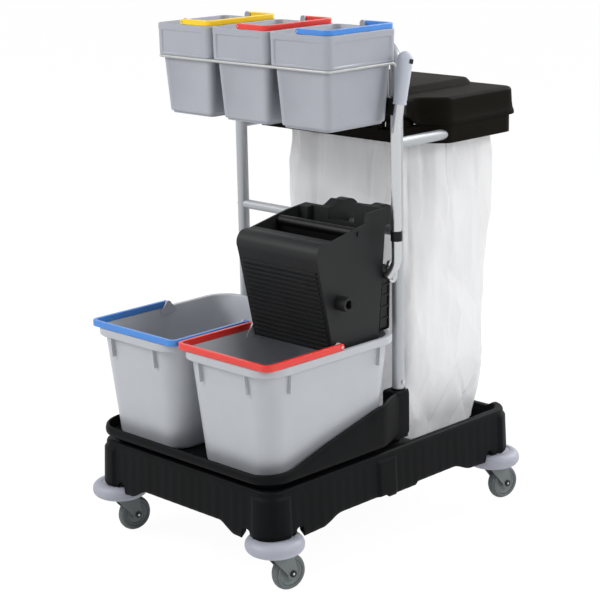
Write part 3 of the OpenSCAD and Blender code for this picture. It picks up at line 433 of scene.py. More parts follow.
# name, colour, roughness, grain and its depth in mm, shade of the flow marks, their stretch, coat, shine
plastics = {
    # a rough foam skin: dull black, streaked upright
    "foam": ("black structural foam polyethylene", "#0b0c0e", 0.5, 4, 0.8, 0.45, (1, 1, 0.1), 0, 0.08),
    # a matt black with hardly any shine
    "lid": ("black moulded polypropylene", "#15130f", 0.55, 3, 0.25, 0.15, None, 0, 0.03),
    # a dark grey with a low, broad shine
    "press": ("charcoal moulded polypropylene", "#1e1f20", 0.46, 3, 0.25, 0.08, None, 0, 0.22),
    # smooth tubs: even grey with soft bright corners
    "grey": ("light grey moulded polypropylene", "#b8bbc1", 0.36, 3.5, 0.12, 0.02),
    "pail": ("pale grey moulded polypropylene", "#a5a8b1", 0.38, 3, 0.12, 0.02),
    # a slightly waxy lilac grey
    "bumper": ("grey moulded polyurethane", "#a6a8b5", 0.46, 3, 0.15, 0.03),
    # mid grey wheels: satin nylon, and a duller tread
    "caster": ("dark grey moulded nylon", "#6c7374", 0.5, 3, 0.2, 0.05),
    "tyre": ("grey thermoplastic rubber", "#656c6d", 0.68, 2.5, 0.3, 0.06),
    # a soft, dull hand grip
    "grip": ("blue-grey moulded elastomer", "#bcc1cc", 0.52, 3, 0.2, 0.03),
    # small black fittings with a clear highlight
    "black": ("black moulded nylon", "#0d0d0e", 0.36, 3, 0.2, 0.1, None, 0, 0.25),
    # bright bails with a glossy edge
    "red": ("red moulded polypropylene", "#e4342b", 0.32, 3.5, 0.1, 0.03, None, 0.15),
    "blue": ("blue moulded polypropylene", "#3f86d8", 0.32, 3.5, 0.1, 0.03, None, 0.15),
    "yellow": ("yellow moulded polypropylene", "#fdcf0c", 0.32, 3.5, 0.1, 0.03, None, 0.15),
}
# name, colour, metallic, roughness, size of the marks in mm, their stretch
metals = {
    # a silvery paint that shines softly
    "tube": ("silver powder-coated steel", "#b0b3b7", 0.45, 0.4, 2),
    # bright, with fine marks along its length
    "lever": ("satin polished stainless steel", "#c8cacd", 1, 0.24, 3, (1, 1, 0.05)),
    # bright and a little cloudy
    "zinc": ("zinc-plated steel", "#c2c5c8", 1, 0.36, 2),
    # a dark, dull shaft
    "dull": ("black oxide steel", "#303233", 0.9, 0.5, 2),
    # pale and smooth
    "wire": ("silver coated steel wire", "#b9bbba", 0.3, 0.38, 2),
}
finishes = {key: mouldedPlastic(*row) for key, row in plastics.items()}
finishes.update({key: metalFinish(*row) for key, row in metals.items()})
# the third colour is the painted shade laid into the hollows of the film's crumples
finishes["film"] = bagFilm("white blown polyethylene film", "#fdfdfe", "#f1f2f5")
print("materials made:", len(finishes))

# stage, light and camera, set at the photograph's angle; lengths here are metres

stage = {
    "floorHalf": 12, "floorZ": -0.0005, "floorColour": "#f4f4f3", "floorWhite": (0.92, 1.05),
    "worldStrength": 0.38, "aim": (0, 0, 0.5), "lens": 105.3, "sensor": 36,
    "cameraAt": (2.560778, -2.584901, 1.4399), "azimuth": 45, "elevation": 14.6, "roll": 1.15,
    "lamps": {
        "key": ((-1.6, -3.2, 3.2), 1.8, 104), "fill": ((3.4, 0.4, 2.4), 1.2, 46),
        "back": ((0.6, 3.4, 2.8), 2.4, 110), "top": ((0, 0, 3.8), 2, 9),
    },
}


def whiteForCamera(tree, share, plain, white):
    # camera, mirror and glass rays see a plain white ground, and other rays see the plain shader
    path = addNode(tree, "ShaderNodeLightPath")
    clear = addNode(tree, "ShaderNodeMath", {"operation": "MAXIMUM"},
                    {0: path.outputs["Is Glossy Ray"], 1: path.outputs["Is Transmission Ray"]})
    seen = addNode(tree, "ShaderNodeMath", {"operation": "MAXIMUM"},
                   {0: path.outputs["Is Camera Ray"], 1: clear})
    part = addNode(tree, "ShaderNodeMath", {"operation": "MULTIPLY", 1: share}, {0: seen})
    return addNode(tree, "ShaderNodeMixShader", None, {"Fac": part, 1: plain, 2: white})


def buildFloor():
    half = stage["floorHalf"]
    mesh = bpy.data.meshes.new("studio floor")
    mesh.from_pydata([(half * x, half * y, stage["floorZ"]) for x, y in corners], [], [[0, 1, 2, 3]])
    floor = addObject("studio_floor", mesh)
    material = bpy.data.materials.new("pale studio floor")
    tree = clearTree(material)
    share, strength = stage["floorWhite"]
    plain = addNode(tree, "ShaderNodeBsdfDiffuse", {"Color": hexLinear(stage["floorColour"])})
    white = addNode(tree, "ShaderNodeEmission", {"Color": (1, 1, 1, 1), "Strength": strength})
    addNode(tree, "ShaderNodeOutputMaterial", None, {"Surface": whiteForCamera(tree, share, plain, white)})
    mesh.materials.append(material)


def buildWorld():
    world = bpy.data.worlds.new("studio")
    bpy.context.scene.world = world
    tree = clearTree(world)
    soft, white = [addNode(tree, "ShaderNodeBackground", {"Color": (1, 1, 1, 1), "Strength": strength})
                   for strength in (stage["worldStrength"], 1.0)]
    addNode(tree, "ShaderNodeOutputWorld", None, {"Surface": whiteForCamera(tree, 1.0, soft, white)})
    for name, (at, size, power) in stage["lamps"].items():
        lamp = bpy.data.lights.new(name + " softbox", "AREA")
        lamp.size = size
        lamp.energy = power
        box = addObject(name + "_softbox", lamp)
        box.location = at
        box.rotation_euler = (Vector(stage["aim"]) - Vector(at)).to_track_quat("-Z", "Y").to_euler()


def buildCamera():
    az, el, roll = map(math.radians, pick(stage, "azimuth elevation roll"))
    forward = Vector((-math.sin(az) * math.cos(el), math.cos(az) * math.cos(el), -math.sin(el)))
    right = Vector((math.cos(az), math.sin(az), 0))
    down = forward.cross(right)
    across = right * math.cos(roll) + down * math.sin(roll)
    below = down * math.cos(roll) - right * math.sin(roll)
    camera = bpy.data.cameras.new("photo camera")
    camera.lens = stage["lens"]
    camera.sensor_width = stage["sensor"]
    stand = addObject("photo_camera", camera)
    stand.matrix_world = shift(stage["cameraAt"]) @ Matrix((across, -below, -forward)).transposed().to_4x4()
    bpy.context.scene.camera = stand
    bpy.context.scene.view_settings.view_transform = "Standard"


buildFloor()
buildWorld()
buildCamera()
print("stage, light and camera set")

# base: a skirt with arches, proud corner columns and shallow flutes, a deck in front and a well behind

base = {
    "lowHalf": (271, 386), "topHalf": (266, 381), "corner": (42, 57), "cornerSteps": 14,
    "lowZ": 111, "topZ": 220, "deckZ": 210, "floorZ": 168, "underZ": 160, "bumperTop": 120,
    "wall": 8, "rim": 22, "edgeRound": 6, "rimCurve": (0.02, 0.25, 0.55, 0.8, 1), "straight": 0.99,
    "rearDip": 10, "dipStart": (372, 6), "dipHalf": (222, 28), "blend": 9, "step": 2.5,
    "recess": 4.5, "columnTop": 208, "columnRound": 7, "flute": 0.4, "flutePitch": 26,
    "column": (322, 207), "midColumn": (-75, -12), "midLobe": (-50, 46), "lobeDrop": 6,
    "sideArch": (176, 232), "frontArch": (112, 158), "archZ": (130, 132), "archShare": 0.8,
    "sideNotch": 296, "frontNotch": 192, "notchW": 22, "notchZ": 133, "shift": 4, "bumperGap": 0.6,
    "levels": [0, 0.02, 0.05] + [0.1 + 0.065 * i for i in range(10)] + [0.74, 0.77, 0.8, 0.83, 0.86, 0.89],
    "footRound": (2, 0.05), "skirtIn": (8, 6, -5), "skirtUp": (10, 0.8),
    "mouth": ((-4, 0), (-1, 1), (0, 4)), "well": ((1.5, 6), (7, 0)),
    "deckRear": 76, "deckIn": 12, "deckCorner": 30, "deckEdge": ((0, -41), (0, -3), (0.8, -1), (2.8, -0.2)),
    "stem": (237, 341), "bossR": (6, 22), "bossGap": 0.3, "bossDrop": 8,
}


def basePerimeter(halfW, halfL, frontR, rearR):
    # points and outward normals all the way round, close together along the straight sides
    points = []
    radii = (rearR, rearR, frontR, frontR)
    for k, ((sx, sy), n) in enumerate(zip(corners, sideNormals)):
        radius = radii[k]
        for c in arc(1, 90 * k, 90 * k + 90, base["cornerSteps"]):
            points.append(((sx * (halfW - radius) + radius * c[0], sy * (halfL - radius) + radius * c[1]), c))
        along = (-n[1], n[0])
        half, reach = (halfW, halfL) if n[1] else (halfL, halfW)
        length = 2 * half - radius - radii[(k + 1) % 4]
        steps = int(length / base["step"])
        for i in range(1, steps):
            u = radius - half + length * i / steps
            points.append(((n[0] * reach + along[0] * u, n[1] * reach + along[1] * u), n))
    return points


def skirtEdge(p, n):
    # height of the skirt's lower edge: arch, lobe that hangs lowest at the notch, notch, then the bumper
    low, clear, lip, blend = base["lowZ"], base["bumperTop"] + base["bumperGap"], 0, base["blend"]
    if abs(n[0]) > base["straight"]:
        u, arch, top, notch = abs(p[1] + base["shift"]), base["sideArch"], base["archZ"][0], base["sideNotch"]
        a, b = base["midLobe"]
        lip = base["lobeDrop"] * (smooth((p[1] - a) / blend) - smooth((p[1] - b) / blend))
    elif abs(n[1]) > base["straight"]:
        u, arch, top, notch = abs(p[0]), base["frontArch"], base["archZ"][1], base["frontNotch"]
    else:
        return clear
    half = base["notchW"] / 2
    if u <= notch - half:
        steep = smooth((arch[1] - u) / (arch[1] - arch[0]))
        slow = min(1, (notch - half - u) / (notch - half - arch[0]))
        share = base["archShare"]
        return low + (top - low) * (share * steep + (1 - share) * slow) - lip
    if u < notch + half:
        return base["notchZ"] - half + math.sqrt(half ** 2 - (u - notch) ** 2)
    return clear


def skirtRelief(p, n, z):
    # how far the wall lies back from the columns, with shallow upright flutes
    u, column, blend = 0.0, 1.0, base["blend"]
    if abs(n[0]) > base["straight"]:
        u = p[1]
        a, b = base["midColumn"]
        middle = smooth((u - a) / blend) * (1 - smooth((u - b + blend) / blend))
        column = max(smooth((abs(u) - base["column"][0]) / blend), middle)
    elif abs(n[1]) > base["straight"]:
        u = p[0]
        column = smooth((abs(u) - base["column"][1]) / blend)
    above = smooth((z - base["columnTop"] + base["columnRound"]) / base["columnRound"])
    flute = base["flute"] * (1 - math.cos(2 * math.pi * u / base["flutePitch"])) / 2
    return (base["recess"] + flute * (1 - above)) * max(1 - column, above)


def rimAt(p):
    (start, startBlend), (half, halfBlend) = base["dipStart"], base["dipHalf"]
    dip = smooth((p[1] - start) / startBlend) * smooth((half - abs(p[0])) / halfBlend)
    return base["topZ"] - base["rearDip"] * dip


def buildBase():
    low, top, lowZ, topZ, wall, rim, r = pick(base, "lowHalf topHalf lowZ topZ wall rim edgeRound")
    outline = basePerimeter(*top, *base["corner"])
    rings = []

    def ring(inset, height):
        rings.append([(p[0] - n[0] * inset, p[1] - n[1] * inset, height(p, n)) for p, n in outline])

    (deep, inner, lip), (innerUp, lipUp) = pick(base, "skirtIn skirtUp")
    ring(wall + deep, lambda p, n: base["underZ"])
    ring(wall + inner, lambda p, n: max(skirtEdge(p, n), lowZ) + innerUp)
    ring(wall + lip, lambda p, n: skirtEdge(p, n) + lipUp)
    foot, footShare = base["footRound"]
    for t in base["levels"]:
        points = []
        for p, n in outline:
            z0 = skirtEdge(p, n)
            z = z0 + (rimAt(p) - r - z0) * t / base["levels"][-1]
            lean = (low[0] - top[0]) * (topZ - z) / (topZ - lowZ)
            d = lean - skirtRelief(p, n, z) - foot * (1 - smooth(t / footShare))
            points.append((p[0] + n[0] * d, p[1] + n[1] * d, z))
        rings.append(points)
    for c in base["rimCurve"]:
        a = math.pi / 2 * c
        ring(base["recess"] + r * (1 - math.cos(a)), lambda p, n: rimAt(p) - r + r * math.sin(a))
    for e, down in base["mouth"]:
        ring(rim + e, lambda p, n: rimAt(p) - down)
    for e, up in base["well"]:
        ring(rim + e, lambda p, n: base["floorZ"] + up)
    deckHalf = (base["deckRear"] + top[1] - base["deckIn"]) / 2
    deck = roundStack((0, base["deckRear"] - deckHalf), top[0] - base["deckIn"], deckHalf, base["deckCorner"],
                      raised(base["deckEdge"], base["deckZ"]))
    parts = [loft(rings), deck]
    inner, outer = base["bossR"]
    foot = base["bumperTop"] + base["bossGap"]
    for sx, sy in corners:
        high = base["underZ"] if sy > 0 else base["deckZ"] - base["bossDrop"]
        place = shift((base["stem"][0] * sx, base["stem"][1] * sy - base["shift"], 0))
        parts.append(lathe([(inner, foot), (outer, foot), (outer, high), (inner, high)], place, 40))
    makePiece("cart_base", parts, "foam", "chassis", ["base"], sharp=40)


buildBase()
print("base done")

# tray: a rolled rim that slopes in below, over a dark gap, side walls that climb to two post towers

tray = {
    "half": 266, "front": -386, "rear": 49, "corner": 60, "drawIn": (-47, 13), "towerOut": 244,
    "foot": ((34, 210), (28, 210), (28, 224), (25, 226.5)), "underZ": 233, "floorZ": 232, "wall": 8,
    "gapHalf": 206, "gapY": 40, "gapEdge": (-4, -1), "drawRound": (14, 0.4),
    "wallTop": [(-386, 254), (-307, 258), (-212, 287), (-71, 322), (-45, 326), (-29, 330), (60, 332)],
    "lowRound": ((5.5, 0), (3.4, 0.8), (1.7, 2.4), (0.6, 5), (0, 9)), "rise": 9,
    "topRound": ((0.7, 5.5), (2, 2.2), (3.8, 0.5), (5.4, 0), (6.8, 0.6), (7.7, 2.2), (8, 5)),
    "inside": ((0.6, 8), (2.5, 2.5), (8, 0)),
    "tower": (225, 27, 19.3, 22.3, 332), "towerCorner": 7,
    "towerRows": ((0, -103), (0, -5), (0.8, -2.2), (2.4, -0.5), (4.4, 0)), "post": (228, 33),
    "collar": ((12.9, -1), (15.2, -1), (15.2, 2.4), (14.4, 3.2), (12.9, 3.2)),
}


def trayOutline():
    # points and outward normals; the walls draw in to the towers at the rear
    w, t, r, front, rear = pick(tray, "half towerOut corner front rear")
    (y0, y1), (past, ease) = pick(tray, "drawIn drawRound")
    lean = math.atan2(w - t, y1 - y0)
    out, halfWay, full = (1, 0), (math.cos(lean / 2), math.sin(lean / 2)), (math.cos(lean), math.sin(lean))
    side = [((t, rear), out), ((t, y1 + past), out), ((t + ease, y1), halfWay)]
    side += [((w - (w - t) * f, y0 + (y1 - y0) * f), full) for f in (0.75, 0.5, 0.25)]
    side += [((w, y0), halfWay)]
    side += [((w, y0 + (front + r - y0) * i / 24), out) for i in range(1, 24)]
    side += [((w - r + r * n[0], front + r + r * n[1]), n) for n in arc(1, 0, -90, 14)]
    back = [((tray["gapHalf"] + d, rear), (0, 1)) for d in tray["gapEdge"]]
    return back + side + [((-p[0], p[1]), (-n[0], n[1])) for p, n in reversed(back + side)]


def buildTray():
    outline = trayOutline()
    floorZ, underZ, rise = pick(tray, "floorZ underZ rise")
    rings = []

    def ring(d, height):
        points = []
        for p, n in outline:
            z = height(*between(tray["wallTop"], p[1]))
            if p[1] > tray["gapY"] and abs(p[0]) < tray["gapHalf"]:
                z = min(z, floorZ)
            points.append((p[0] - n[0] * d, p[1] - n[1] * d, z))
        rings.append(points)

    for d, z in tray["foot"]:
        ring(d, lambda top: z)
    for d, up in tray["lowRound"]:
        ring(d, lambda top: underZ + up)
    for i in range(1, 4):
        ring(0, lambda top: underZ + rise + (top - rise - underZ - rise) * i / 3)
    for d, down in tray["topRound"]:
        ring(d, lambda top: top - down)
    for d, up in tray["inside"]:
        ring(tray["wall"] + d, lambda top: floorZ + up)
    parts = [loft(rings)]
    x, y, halfW, halfL, top = tray["tower"]
    rows = raised(tray["towerRows"], top)
    postX, postY = tray["post"]
    for s in sides:
        parts.append(roundStack((s * x, y), halfW, halfL, tray["towerCorner"], rows, 6))
        parts.append(lathe(raised(tray["collar"], top), shift((s * postX, postY, 0)), 48))
    makePiece("tray_moulding", parts, "foam", "chassis", ["bucket_tray"], sharp=42)


buildTray()
print("tray done")

# bumpers and casters

caster = {
    "stem": base["stem"], "shift": base["shift"], "yaw": -9, "trail": 31, "axleZ": 37.5, "width": 22,
    "bumperR": 60, "bumperZ": (88, 120), "bumperFoot": ((22.5, 0.5), (24, 0)),
    "bumperTop": ((40, 0), (39, -1), (30, -1), (29, 0), (6.2, 0), (6.2, -9), (22.5, -9)),
    "tyreR": 37.5, "treadRound": (6, 1.5), "tyreSide": ((27, 1), (29, 0), (33, 0)),
    "hubSide": ((4.4, 0), (9, 0), (9.6, 0.8), (10, 4), (20, 4.5), (23, 2), (25.8, 1.6), (26.9, 2.6)),
    "rivet": ((0, 0), (2.6, 0), (2.4, 0.9), (1.4, 1.5), (0, 1.6)), "rivetSink": 0.2, "forkRound": 1.2,
}
cornerNames = {"front_left": (-1, -1), "front_right": (1, -1), "rear_left": (-1, 1), "rear_right": (1, 1)}


def buildCasters():
    z0, z1 = caster["bumperZ"]
    fat = (z1 - z0) / 2
    bumperProfile = raised(caster["bumperFoot"], z0)
    bumperProfile += arc(fat, -90, 90, 16, (caster["bumperR"] - fat, (z0 + z1) / 2))
    bumperProfile += raised(caster["bumperTop"], z1)
    half = caster["width"] / 2
    tyreSide, hubSide = (raised(rows, -half) for rows in pick(caster, "tyreSide hubSide"))
    deep, flat = caster["treadRound"]
    tread = [(caster["tyreR"] - deep + deep * c, (half - flat) * s) for c, s in arc(1, -90, 90, 8)]
    tyreProfile = tyreSide + tread + mirrored(tyreSide)
    hubProfile = hubSide + mirrored(hubSide)
    head = lathe(caster["rivet"], Matrix.Identity(4), 20)
    for name, (sx, sy) in cornerNames.items():
        fork, wheel = "caster_" + name, "wheel_" + name
        stem = shift((caster["stem"][0] * sx, caster["stem"][1] * sy - caster["shift"], 0))
        axle = stem @ turn(caster["yaw"], "Z") @ shift((0, caster["trail"], caster["axleZ"])) @ turn(90, "Y")
        makePiece("bumper_disc_" + name, [lathe(bumperProfile, stem, 96)], "bumper", "chassis",
                  ["bumper_" + name], sharp=40)
        makePiece("wheel_tyre_" + name, [lathe(tyreProfile, axle, 80)], "tyre", wheel,
                  ["tyre_" + name], sharp=40)
        makePiece("wheel_hub_" + name, [lathe(hubProfile, axle, 64)], "caster", wheel,
                  ["hub_" + name], sharp=35)
        softCopy("fork_" + name, "caster_fork_" + name, "caster", fork,
                 caster["forkRound"], segments=2)
        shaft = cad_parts["axle_" + name].data
        end = max((axle.inverted() @ (v.co * 1000)).z for v in shaft.vertices) - caster["rivetSink"]
        rivets = [(axle @ Vector((0, 0, s * end)), (0, 90 * s, caster["yaw"])) for s in sides]
        repeatPiece("fork_rivets_" + name, head, rivets, "zinc", fork)


buildCasters()
print("casters done")

# buckets and pails, each a moulded tub with a rolled rim, and their bails
# rows are (inset, height) and, where a pail has a panel, how deep it is pressed in

bucket = {
    "x": 135, "y": -190, "rim": (134, 195, 58), "rimZ": 468, "rimH": 16, "lip": 9,
    "wall": 3, "floorZ": 232.2, "draft": 22, "cornerDraw": 0.55, "leastCorner": 6,
    "foot": ((12, 0), (5, 0.6), (1.4, 3)), "bodyFrom": 8, "bodyTo": 3, "rimFoot": ((-0.6, -1), (-2, 0)),
    "rimOut": ((1.2, 0), (0.2, 1), (0, 3)), "insideTo": 14, "inside": ((3, 6), (11, 3)),
    "rimTop": ((0, -3.5), (0.5, -1.2), (2.2, 0), (8.5, 0), (10.8, -0.6), (12, -2.5)),
    "bailY": -175, "bailZ": 474.8, "bailHalf": 132, "bailReach": 208, "strap": (9, 13),
    "bore": 3.05, "lug": 122.7, "lugT": 5, "pin": (3, 11, 0.6),
    "hump": [(22, -20.5), (21, -14)] + arc(7.5, 20, 160, 10) + [(-21, -14), (-22, -20.5)],
    "gusset": [(-1, 0), (9.2, 0), (9, -3), (5.5, -42), (-4, -42)], "gussetT": 2.6, "gussetIn": 10,
}
pail = {
    "pitch": 166.5, "y": -86, "rim": (82, 99, 14), "rimZ": 1084, "skirtZ": 1019, "bottomZ": 896,
    "inset": 8, "draft": 8, "cornerDraw": 0.25, "leastCorner": 5,
    "foot": ((9, 0), (4.6, 0), (4, 0.6), (4, 4), (1, 4.4)), "footTop": ((0.2, 6), (0, 9)), "body": (12, -4),
    "skirtFoot": ((7.5, 0), (2, 0), (1.1, 0.8), (1, 2), (0.9, 4), (0.8, 6, 2.2)), "bodySink": 1.5,
    "rimTop": ((0.5, -15, 2.2), (0.3, -13), (0, -11), (0, -1), (0.8, 0), (1.7, 0), (2.5, -1)),
    "skirtInside": ((4.9, 5.5), (6.5, 2.5), (11.7, 1.5), (12.3, -2)), "inside": ((9, 4.1, 9), (5, 6.5, 3)),
    "panelEdge": 17, "bailZ": 1089.8, "bailReach": 81, "bailHalf": 98, "strap": (8, 11),
    "bore": 2.05, "pin": (2, 10, 0.4), "bridge": (6, 0.4, 1.5), "bridgeRows": ((0, -10.6), (0, -1.6)),
    "lugGap": 0.3, "earT": 4, "ear": arc(7, 0, 180, 12) + [(-7, -14), (-5, -18), (5, -18), (7, -14)],
}
bail = {"corner": 18, "edge": 1.6, "eyeEdge": 0.8, "eyeIn": 0.6}


def buildBucket(side, x, shade):
    w, l, r = bucket["rim"]
    lip, wall, top, low, draft, y = pick(bucket, "lip wall rimZ floorZ draft y")
    under = top - bucket["rimH"]
    outer = lambda z: draft * (top - z) / (top - low) + lip
    rows = raised(bucket["foot"], low, outer(low))
    rows += [(outer(z), z) for z in spaced(low + bucket["bodyFrom"], under - bucket["bodyTo"], 5)]
    rows += raised(bucket["rimFoot"], under, outer(under))
    rows += raised(bucket["rimOut"], under) + raised(bucket["rimTop"], top)
    rows += [(outer(z) + wall, z) for z in spaced(rows[-1][1], low + bucket["insideTo"], 5)[1:]]
    rows += [(outer(low + h) + wall + e, low + h) for e, h in bucket["inside"]]
    draw, least = pick(bucket, "cornerDraw leastCorner")
    parts = [loft([roundRing((x, y), w - e, l - e, max(least, r - e * draw), z, segs=12) for e, z in rows])]
    pivot = pick(bucket, "bailY bailZ")
    lug, thick, (radius, length, edge) = pick(bucket, "lug lugT pin")
    for lugX, pinX in ((-lug, 1 - lug - length), (lug - thick, lug - 1)):
        parts.append(plate(bucket["hump"], shift((x + lugX, *pivot)) @ acrossX, thick, edge=0.9))
        parts.append(lathe(rod(0, radius, 0, length, edge), shift((x + pinX, *pivot)) @ turn(90, "Y"), 32))
    body = "bucket_" + side
    makePiece("bucket_tub_" + side, parts, "grey", body, [body], sharp=38)
    stood = shift((0, bucket["gussetT"] / 2, 0)) @ turn(90, "X")
    gusset = plate(bucket["gusset"], stood, bucket["gussetT"], edge=0.4)
    inset, near = outer(under) + 1, r + bucket["gussetIn"]
    places = []
    for sx, sy in corners:
        places.append(((x + sx * (w - inset), y + sy * (l - near), under + 1), (0, 0, 90 - 90 * sx)))
        places.append(((x + sx * (w - near), y + sy * (l - inset), under + 1), (0, 0, 90 * sy)))
    repeatPiece("bucket_gussets_" + side, gusset, places, "grey", body)
    buildBail("bucket_bail_" + side, (x, *pivot), bucket, -90, shade, "bail_of_bucket_" + side)


def buildBail(node, pivot, tub, angle, shade, name):
    # a flat strap round three sides, drawn towards +X from its pivot line along Y and then turned
    width, height = tub["strap"]
    mid, near, far = tub["bailHalf"] - width / 2, height / 2 - bail["eyeIn"], tub["bailReach"] - width / 2
    points = [(near, -mid, 0), (far, -mid, 0), (far, mid, 0), (near, mid, 0)]
    place = shift(pivot) @ turn(angle, "Z")
    strap = sweep(roundPath(points, bail["corner"] - width / 2, 10), softSection(width, height, bail["edge"]),
                  (0, 0, 1))
    parts = [placed(strap, place)]
    profile = rod(tub["bore"], height / 2, -width / 2, width / 2, bail["eyeEdge"])
    for s in sides:
        parts.append(lathe(profile, place @ shift((0, s * mid, 0)) @ turn(90, "X"), 40))
    makePiece(name, parts, shade, node, [node], sharp=38)


def buildPail(side, x, shade):
    w, l, r = pail["rim"]
    inset, top, skirt, low, y, bailZ = pick(pail, "inset rimZ skirtZ bottomZ y bailZ")
    lean = lambda z: inset + pail["draft"] * (skirt - z) / (skirt - low)
    bodyLow, bodyTop = pail["body"]
    rows = raised(pail["foot"], low, lean(low))
    rows += [(lean(low + h) + e, low + h) for e, h in pail["footTop"]]
    rows += [(lean(z), z, pail["bodySink"]) for z in spaced(low + bodyLow, skirt + bodyTop, 3)]
    rows += raised(pail["skirtFoot"], skirt) + raised(pail["rimTop"], top)
    rows += raised(pail["skirtInside"], skirt)
    rows += [(lean(low + at) + e, low + h) for at, e, h in pail["inside"]]
    draw, least, edge = pick(pail, "cornerDraw leastCorner panelEdge")
    parts = [loft([roundRing((x, y), w - e, l - e, max(least, r - e * draw), z, edge, *sink)
                   for e, z, *sink in rows])]
    lug = l - 1 - pail["strap"][0] - pail["lugGap"]
    thick, (halfW, over, corner), (radius, length, chamfer) = pick(pail, "earT bridge pin")
    bridgeRows = raised(pail["bridgeRows"], top)
    for s, earY, pinY in ((-1, thick - lug, 1 - lug - length), (1, lug, lug - 1)):
        parts.append(plate(pail["ear"], shift((x, y + earY, bailZ)) @ turn(90, "X"), thick, edge=0.8))
        bridge = (x, y + s * (lug / 2 + (l - 1.2) / 2))
        parts.append(roundStack(bridge, halfW, (l - lug) / 2 + over, corner, bridgeRows, 2))
        spun = shift((x, y + pinY, bailZ)) @ turn(-90, "X")
        parts.append(lathe(rod(0, radius, 0, length, chamfer), spun, 24))
    body = "pail_" + side
    makePiece("pail_tub_" + side, parts, "pail", body, [body], sharp=38)
    buildBail("pail_bail_" + side, (x, y, bailZ), pail, 0, shade, "bail_of_pail_" + side)


for side, s, shade in (("left", -1, "blue"), ("right", 1, "red")):
    buildBucket(side, s * bucket["x"], shade)
for side, s, shade in (("left", -1, "yellow"), ("middle", 0, "red"), ("right", 1, "blue")):
    buildPail(side, s * pail["pitch"], shade)
print("buckets, pails and bails done")

# press: the CAD housing with moulded edges, its ladder brackets, and the flat key in the side socket

press = {
    "x": bucket["x"], "rear": ((458, -50), (730, -22)), "rearGap": 0.3, "shaft": (-16, 588),
    "bracketX": 91, "bracketT": 8,
    "bracketRear": ((1, 470), (5, 474), (7, 558), (6, 592), (-1, 604), (-7, 608)),
    "rib": 4, "ribIn": 2.2, "ribY": (-30, 2), "ribZ": (480, 600), "ribCorner": 1.6, "ribEdge": 0.8,
    "web": 3, "rungs": (492, 516, 540, 562), "rungEnd": (4, 3), "strut": ((-24, 472), (-15, 568)),
    "eye": (8.1, 13, 0.6), "boss": (276, -164, 561), "bore": 8.9, "keyArc": 48, "key": (23, 22.4),
    "leftX": (15, 99.6), "leftTop": [(-130, 700), (-84, 706), (-19, 713), (2, 724), (2, 760), (-130, 760)],
}
pressForms = {
    "press_housing": ("press_body", "press", "press", "charcoal_plastic", 1.8),
    "press_jaw": ("press_plate", "black", "jaw", "charcoal_plastic", 1),
    "press_cams": ("press_pushers", "black", "lever", "charcoal_plastic", 0.8),
}


def rearAt(z):
    # where the housing's sloping rear wall stands
    return between(press["rear"], z)[0] + press["rearGap"]


def towardMiddle(value, limits):
    low, high = limits
    return value + (press["ribIn"] if value < low else -press["ribIn"] if value > high else 0)


def buildBrackets():
    rear, (rungY, rise) = pick(press, "bracketRear rungEnd")
    low, high = rear[0][1], rear[-1][1]
    outline = [(rearAt(low), low), *rear, (rearAt(high), high)]
    inner = [(towardMiddle(y, press["ribY"]), towardMiddle(z, press["ribZ"])) for y, z in outline]
    half, web = press["bracketT"] / 2, press["web"]
    section = softSection(press["rib"], press["bracketT"], press["ribEdge"], segs=2)
    bore, radius, edge = press["eye"]
    parts = []
    for s in sides:
        x = press["x"] + s * press["bracketX"]
        parts.append(plate(outline, shift((x - web / 2, 0, 0)) @ acrossX, web, edge=0.4))
        lines = [roundPath([(x, y, z) for y, z in inner + inner[:2]], press["ribCorner"], 3)]
        lines += [[(x, rearAt(z) + 1, z), (x, rungY, z + rise)] for z in press["rungs"]]
        lines.append([(x, y, z) for y, z in press["strut"]])
        parts += [sweep(line, section, (1, 0, 0)) for line in lines]
        eye = shift((x, *press["shaft"])) @ turn(90, "Y")
        parts.append(lathe(rod(bore, radius, -half, half, edge), eye, 40))
    makePiece("press_brackets", parts, "black", "press", ["bearing_brackets"], sharp=40)


def buildSocketKey():
    # the side socket's bore is D-shaped: a flat key fills its rear side
    x, y, z = press["boss"]
    outline = arc(press["bore"], -press["keyArc"], press["keyArc"], 12, (y, z))
    deep, length = press["key"]
    key = plate(outline, shift((x - deep, 0, 0)) @ acrossX, length, edge=0.3)
    makePiece("socket_key", [key], "press", "press")


def pressCut():
    # the left wall runs straight up to the rear wall, and the left hook rises from there
    return loft([[(x, y, z) for y, z in press["leftTop"]] for x in press["leftX"]])


for node, (name, finish, body, slotName, width) in pressForms.items():
    softCopy(node, name, finish, body, width, cut=pressCut() if node == "press_housing" else None)
softCopy("rack_clips", "rack_post_clips", "black", "chassis", 1.5)
buildBrackets()
buildSocketKey()
print("press done")

# bag holder: a ring that the bag hangs in and a lid with a raised panel

